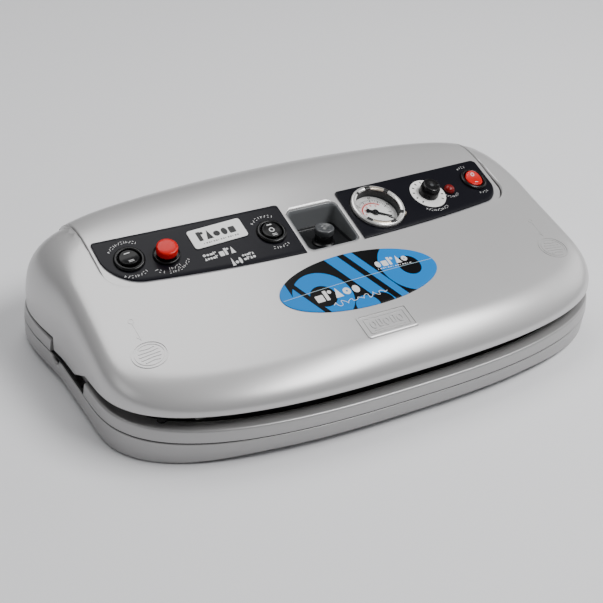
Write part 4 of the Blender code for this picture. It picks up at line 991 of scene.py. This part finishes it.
def make_gauge():
    place = seat("gauge")
    turned("gauge_housing", MATT, place, 120,
           [(20.1, -19.8), (20.1, 0.05), (21.6, 0.05), (21.6, 1.9), (19.55, 1.9),
            (19.45, -6.6), (0.01, -6.6), (0.01, -19.8)], sharp=40.0, replaces="gauge_case")
    turned("gauge_rim", CHROME, place, 144,
           [(21.75, 0.15), (22.9, 0.15), (23.1, 0.4), (23.1, 2.0), (22.98, 2.7),
            (22.6, 3.25), (22.0, 3.55), (21.2, 3.6), (20.2, 3.45), (19.4, 3.15), (19.0, 2.8),
            (18.85, 2.4), (19.0, 2.1), (21.75, 2.1)], replaces="gauge_ring")
    dark = Shape()
    for a0, a1 in ((81, 95), (36, 47), (-147, -133), (-88, -72), (120, 126), (-40, -30)):
        ring_part(dark, place, a0, a1, 18.8, 22.0 if a1 - a0 > 8 else 20.8, 2.4, 3.74)
    dark.done("gauge_slots", MATT, sharp=50.0)
    tabs = Shape()
    for a0, a1 in ((48, 80), (-132, -89)):
        ring_part(tabs, place, a0, a1, 18.7, 21.4, 2.5, 3.80, 20)
    ring_part(tabs, place, -37, -29, 22.6, 24.2, 0.4, 2.2, 8)
    tabs.done("gauge_tabs", TAB, sharp=50.0)
    turned("gauge_dial", WHITE, place, 96,
           [(0.01, -6.5), (19.3, -6.5), (19.3, -6.0), (19.15, -5.9), (0.01, -5.9)],
           sharp=32.0, replaces="gauge_face")

    def on_face(x, y, h):
        return place(x, y, -5.9 + h)

    ticks = Shape()
    for i in range(41):
        r0, width = (13.6, 0.34) if i % 5 else (12.4, 0.7)
        ticks.spoke(198.0 - 234.0 * i / 40.0, r0, 15.3, width, on_face)
    for i in range(0, 41, 10):
        cx, cy = polar(17.0, 198.0 - 234.0 * i / 40.0)
        ticks.ribbon(oval(cx, cy, 0.6, 0.95, 16), 0.5, on_face, 0.0, 0.05, closed=True)
        ticks.ribbon([(cx + 1.5, cy - 0.9), (cx + 1.5, cy + 0.9)], 0.5, on_face, 0.0, 0.05)
    ticks.spoke(-35.0, 11.4, 15.8, 1.5, on_face, 0.06)
    ticks.slab([(-5.4, -8.2), (-3.0, -9.4), (-5.0, -10.6)], on_face, 0.0, 0.06)
    ticks.done("gauge_ticks", INK)
    scale = Shape()
    scale.ribbon([polar(10.9, 196 - 152 * i / 48) for i in range(49)], 1.0, on_face, 0.0, 0.05)
    for i in range(26):
        scale.spoke(196.0 - 152.0 * i / 25.0, 10.6, 12.6, 0.42, on_face)
    for degrees in (180, 150, 120, 90, 60):
        scale.ribbon(oval(*polar(8.6, degrees), 0.55, 0.85, 14), 0.42, on_face, 0.0, 0.05,
                     closed=True)
    scale.done("gauge_red_scale", PINK)
    grey = Shape()
    grey.ribbon(oval(-0.4, -10.4, 1.5, 1.5, 20), 0.6, on_face, 0.0, 0.05, closed=True)
    grey.ribbon([(1.8, -10.4), (3.4, -10.4)], 0.6, on_face, 0.0, 0.05)
    grey.done("gauge_grey_mark", PALE_EDGE)
    aim = seat("gauge", -30.0)
    side = [(14.0, 0.5), (2.9, 1.0), (2.2, 2.2), (-1.0, 2.5), (-2.2, 1.6), (-5.0, 1.2),
            (-5.6, 2.1), (-7.8, 1.9)]
    hand = Shape()
    hand.slab([(14.0, -0.5)] + side + [(x, -y) for x, y in side[:0:-1]], aim, -5.2, 0.5)
    hand.lathe([(0.01, -4.9), (2.7, -4.9), (2.7, -4.3), (2.4, -3.95), (0.01, -3.8)], aim, 40)
    hand.done("gauge_hand", GLOSS, "needle", sharp=32.0, bevel=0.08,
              replaces="gauge_needle")
    turned("gauge_glass", GLASS, place, 96,
           [(0.01, 0.4), (19.35, 0.4), (19.4, 0.5), (19.4, 1.1), (19.3, 1.2), (12.0, 1.32),
            (0.01, 1.38)], sharp=40.0, replaces="gauge_window")


make_gauge()


# -------------------------------------------------------- timer, lamp and well
def make_timer():
    place = seat("timer")
    turned("timer_disc", WHITE, place, 96,
           [(4.6, 0.05), (16.0, 0.05), (16.2, 0.2), (16.2, 0.45), (16.0, 0.62), (4.6, 0.62)],
           sharp=40.0, replaces="timer_dial")
    marks = Shape()
    for i in range(11):
        marks.spoke(-38.0 + 25.8 * i, 12.2, 14.4, 1.25, lambda x, y, h: place(x, y, 0.62 + h))
    marks.done("timer_marks", INK)

    def flats(a, r, z):
        if r < 6.0 or z < 2.6:
            return r
        return r - 0.42 * max(0.0, math.cos(3 * a)) ** 2

    grip = seat("timer", -15.0)
    turned("timer_grip", GLOSS, grip, 144,
           [(0.01, -6.0), (3.6, -6.0), (3.6, 1.3), (8.6, 1.3), (8.85, 1.5), (8.85, 2.2),
            (8.75, 2.6), (8.6, 5.0), (8.4, 7.6), (8.15, 9.2), (7.8, 10.1), (7.2, 10.65),
            (6.4, 10.86), (4.9, 10.9), (3.4, 10.82), (2.6, 10.6), (0.01, 10.5)],
           sharp=48.0, body="timer", replaces="timer_knob", ribs=flats)
    mark = Shape()
    mark.spoke(0.0, 4.6, 6.9, 0.6, lambda x, y, h: grip(x, y, 10.86 + h))
    mark.lathe([(0.01, 10.5), (1.7, 10.5), (1.6, 10.66), (0.01, 10.7)], grip, 32)
    mark.done("timer_grip_mark", CAP_GREY, "timer", sharp=50.0)


def make_lamp():
    place = seat("lamp")
    turned("lamp_ring", GLOSS, place, 48,
           [(4.8, 0.05), (5.3, 0.05), (5.3, 0.3), (5.1, 0.5), (4.85, 0.5)])
    turned("lamp_lens", LAMP, place, 64,
           [(0.01, -13.8), (3.3, -13.8), (3.3, 0.05), (4.7, 0.05), (4.75, 0.6), (4.6, 1.6),
            (4.2, 2.6), (3.5, 3.4), (2.5, 4.0), (1.2, 4.3), (0.01, 4.4)],
           sharp=50.0, replaces="indicator_lamp")


def make_well():
    hx, hy = WELL_HALF - 0.45, (WELL_BACK - WELL_FRONT) / 2 - 0.45

    def loop(shrink, radius, z):
        pts = round_box(0, WELL_MID, hx - shrink, hy - shrink, radius, 10)
        return [Vector((x, y, z(x, y) if callable(z) else z)) for x, y in pts]

    def below(depth, limit=math.inf):
        return lambda x, y: min(limit, skin(x, y) - depth)

    def centre(z):
        return Vector((0.0, WELL_MID, z))

    rows = [loop(0.0, 5.5, 78.0)]
    rows += [loop(shrink, radius, below(depth)) for shrink, radius, depth in (
        (0.0, 5.5, 1.0), (0.05, 5.5, 0.75), (0.3, 5.4, 0.55), (0.75, 5.1, 0.6),
        (1.05, 4.9, 1.0))]
    rows += [loop(1.2 + 0.2 * i, 4.9, below(1.5 + (95.0 - z) * 0.17, z))
             for i, z in enumerate((95.0, 91.0, 87.5, 84.5, 82.2, 80.8))]
    rows += [loop(2.4, 4.6, 80.1), loop(2.9, 4.2, 79.8), loop(3.6, 3.6, 79.7),
             loop(8.0, 3.0, 79.7)]
    cup = Shape()
    cup.closed(rows, centre(78.0), centre(79.7))
    cup.done("well_box", CUP, sharp=45.0, replaces="well_cup")
    tray = Shape()
    tray.closed([loop(*r) for r in (
        (2.5, 4.6, 79.75), (2.5, 4.6, 81.8), (2.7, 4.5, 82.1), (3.2, 4.3, 82.1),
        (3.5, 4.1, 81.8), (4.0, 3.8, 80.6), (4.6, 3.4, 80.15), (5.6, 2.8, 80.05))],
        centre(79.75), centre(80.05))
    tray.done("well_floor", WELL_DARK, sharp=45.0)
    post = local(Matrix.Translation((-0.5, 4.0, 79.0)))
    turned("well_stem", GLOSS, post, 72,
           [(0.01, 1.08), (9.4, 1.08), (9.4, 1.9), (9.0, 2.3), (8.4, 2.5), (7.9, 2.9),
            (7.5, 3.6), (7.3, 6.0), (7.1, 9.0), (6.8, 9.4), (0.01, 9.4)],
           replaces="well_post")

    def ribs(a, r, z):
        return r - 0.1 * (1 + math.cos(30 * a)) if r > 7.5 and 9.9 < z < 13.9 else r

    turned("well_knob", CAP_GREY, post, 96,
           [(0.01, 9.7), (7.6, 9.7), (7.9, 9.95), (7.9, 13.7), (7.8, 14.2), (7.45, 14.65),
            (6.9, 14.86), (6.3, 14.9), (5.9, 14.7), (5.6, 14.5), (3.9, 14.45), (3.5, 14.2),
            (3.1, 13.8), (0.01, 13.7)], body="valve_cap", replaces="well_cap", ribs=ribs)
    turned("well_knob_dot", STEEL, post, 32,
           [(0.01, 13.72), (1.7, 13.72), (1.65, 14.0), (0.01, 14.15)], body="valve_cap")


make_timer()
make_lamp()
make_well()

# ------------------------------------------------------------ badge on the lid
BADGE_X, BADGE_Y = -3.4, -57.0


def badge_material():
    """Black, with rings and bands of blue in their places on the oval."""
    look = Mat("badge_print", srgb(5, 5, 7), rough=0.34, grain=0.004, rough_var=0.03,
               specular=0.12)
    x, y, _ = look.xyz()
    u = (x + -BADGE_X * MM) * 1000.0
    v = (y + -BADGE_Y * MM) * 1000.0

    def ring(cx, cy, squash, low, high):
        du, dv = u - cx, (v - cy) * squash
        far = (du * du + dv * dv).sqrt()
        return (far > low).both(far < high)

    def band(slope, low, high):
        s = u + v * slope
        return (s > low).both(s < high)

    mask = u < -60.0
    for part in (ring(-37.0, -7.0, 1.0, 10.5, 24.0), ring(47.0, 2.0, 0.95, 9.5, 25.5),
                 band(0.42, -7.0, 5.5), band(0.42, 11.5, 19.0)):
        mask = mask.either(part)
    for part in (band(0.42, -53.0, -48.5), ring(6.0, -26.0, 1.0, 0.0, 9.0)):
        mask = mask.both(part < 0.5)
    mask = mask.either(ring(-8.0, -26.0, 1.0, 0.0, 10.0))
    look.paint(look.mix(mask, look.base, (0.0, 0.19, 0.56, 1.0)))
    return look


def make_badge():
    ax, ay, top = 70.0, 27.0, 0.35

    def at(u, v, h):
        x, y = BADGE_X + u, BADGE_Y + v
        return raised(Vector((x, y, top_height(x, y) + 0.25 + h)))

    def on_badge(u, v, h):
        return at(u, v, top + h)

    levels = ((0.5, -0.2), (0.998, -0.2), (1.0, 0.1), (0.9985, 0.28), (0.995, 0.34), (0.94, top),
              (0.85, top), (0.7, top), (0.5, top), (0.3, top), (0.12, top))
    plate = Shape()
    plate.closed([[at(u, v, h) for u, v in oval(0, 0, ax * scale, ay * scale, 160)]
                  for scale, h in levels], at(0, 0, -0.2), at(0, 0, top))
    plate.done("badge_oval", badge_material(), "lid", sharp=50.0, replaces="oval_badge")
    white = Shape()
    block_row(white, -25.0, -7.0, 40.0, 9.6, 5, on_badge, 2.5, 2)
    block_row(white, 34.0, 10.0, 31.0, 8.0, 5, on_badge, 2.0, 4)
    for i in range(14):
        u, v = 19.0 + i * 2.25, 4.4 - i * 0.04
        white.ribbon([(u, v), (u + (1.4 if i % 3 else 0.6), v)], 0.8, on_badge, 0.0, 0.05)
    wave = []
    for i in range(161):
        t = i / 160.0
        wave.append((-34.0 + 48.0 * t + 0.8 * math.sin(t * 63.0),
                     -17.6 + 0.8 * t + (1.7 + 0.7 * math.sin(t * 11.0)) * math.sin(t * 44.0)))
    white.ribbon(wave, 0.42, on_badge, 0.0, 0.05)
    white.done("badge_marks", PRINT, "lid")
    thin = Shape()
    thin.ribbon([(-68.6 + 137.2 * i / 60.0, -1.4 + 4.6 * i / 60.0) for i in range(61)], 0.34,
                on_badge, 0.0, 0.04)
    thin.done("badge_line", PALE_LINE, "lid")


make_badge()


# ------------------------------------------------------------ raised lid marks
def emboss(shape, pts, width, height, closed=False):
    shape.ribbon(pts, width, on_lid, -0.1, height, closed=closed)


def make_embossing():
    plate = Shape()
    for hx, hy, r, width, height in ((21.6, 10.2, 1.8, 1.5, 0.9), (17.6, 6.9, 0.9, 0.9, 0.6)):
        emboss(plate, round_box(-6.3, -101.0, hx, hy, r), width, height, closed=True)
    for i in range(5):
        u = -18.4 + i * 6.0
        pts = (oval(u, -100.6, 2.1, 3.2, 24), round_box(u, -100.0, 1.5, 3.4, 0.6, 2))[i % 2]
        emboss(plate, pts, 1.0, 0.6, closed=True)
    emboss(plate, [(-20.0, -106.0), (7.0, -106.0)], 0.7, 0.45)
    plate.done("lid_frame_relief", SILVER, "lid", sharp=70.0)
    for name, sx in (("left", -1), ("right", 1)):
        relief = Shape()
        cx, cy = sx * 184.0, -64.0
        emboss(relief, oval(cx, cy, 13.2, 11.2, 44), 1.0, 0.6, closed=True)
        emboss(relief, oval(cx, cy, 11.0, 9.0, 40), 0.6, 0.45, closed=True)
        for i in range(5):
            v = -6.0 + 3.0 * i
            w = math.sqrt(max(0.0, 8.2 ** 2 - v * v))
            emboss(relief, [(cx - w, cy + v), (cx + w * 0.2, cy + v * 0.85), (cx + w, cy + v)],
                   0.9, 0.5)
        emboss(relief, [(cx, -34.0), (cx, -49.5)], 0.6, 0.35)
        emboss(relief, [(cx - 2.2, -46.5), (cx, -50.0), (cx + 2.2, -46.5)], 0.6, 0.35)
        emboss(relief, oval(cx, -31.6, 2.0, 2.0, 20), 0.6, 0.35, closed=True)
        relief.done("lid_relief_" + name, SILVER, "lid", sharp=70.0)


make_embossing()

# ------------------------------------------------------------------ the camera
azimuth, elevation, roll = math.radians(33.43), math.radians(31.64), math.radians(5.09)
ahead = Vector((math.sin(azimuth) * math.cos(elevation),
                math.cos(azimuth) * math.cos(elevation), -math.sin(elevation)))
level = ahead.cross(Vector((0, 0, 1))).normalized()
up = level.cross(ahead)
right = level * math.cos(roll) + up * math.sin(roll)
above = up * math.cos(roll) - level * math.sin(roll)
cam_data = bpy.data.cameras.new("view")
cam_data.sensor_width = 36.0
cam_data.lens = 81.74
cam_data.shift_x, cam_data.shift_y = -0.0369, -0.0542
cam_data.clip_start = 0.01
cam = bpy.data.objects.new("view", cam_data)
cam.matrix_world = (Matrix.Translation((-0.52119, -0.78881, 0.63930))
                    @ Matrix((right, above, -ahead)).transposed().to_4x4())
bpy.context.scene.collection.objects.link(cam)
bpy.context.scene.camera = cam

# -------------------------------------------------------------- floor and light
floor = Shape()
floor.grid([[Vector((x * 1000.0, y * 1000.0, 0.0)) for x in (-4, -1, 0, 1, 4)]
            for y in (-4, -1, 0, 1, 4)])
floor_obj = floor.build("floor")
floor_mat = Mat("pale_floor", srgb(236, 236, 238), rough=0.75, grain=0.0, cloud=0.006,
                cloud_scale=2.0, rough_var=0.04)
floor_obj.data.materials.append(floor_mat.mat)

for name, where, target, size, power in (
        ("key", (0.75, -0.62, 1.5), (0, -0.05, 0.05), (1.3, 0.45), 31),
        ("top", (-0.1, 0.7, 1.7), (0, 0.05, 0.05), (1.8, 0.9), 17),
        ("right_fill", (1.7, 0.1, 0.7), (0, 0, 0.05), (0.8, 0.8), 4),
        ("left_fill", (-1.6, -0.2, 0.9), (0, 0, 0.05), (0.8, 0.8), 2)):
    data = bpy.data.lights.new(name, "AREA")
    data.shape = "RECTANGLE"
    data.size, data.size_y = size
    data.energy = power
    lamp = bpy.data.objects.new(name, data)
    lamp.location = where
    lamp.rotation_euler = (Vector(target) - Vector(where)).to_track_quat("-Z", "Y").to_euler()
    bpy.context.scene.collection.objects.link(lamp)
world = bpy.data.worlds.new("studio")
bpy.context.scene.world = world
world.use_nodes = True
background = world.node_tree.nodes["Background"]
background.inputs[0].default_value = (0.93, 0.94, 0.96, 1)
background.inputs[1].default_value = 0.14
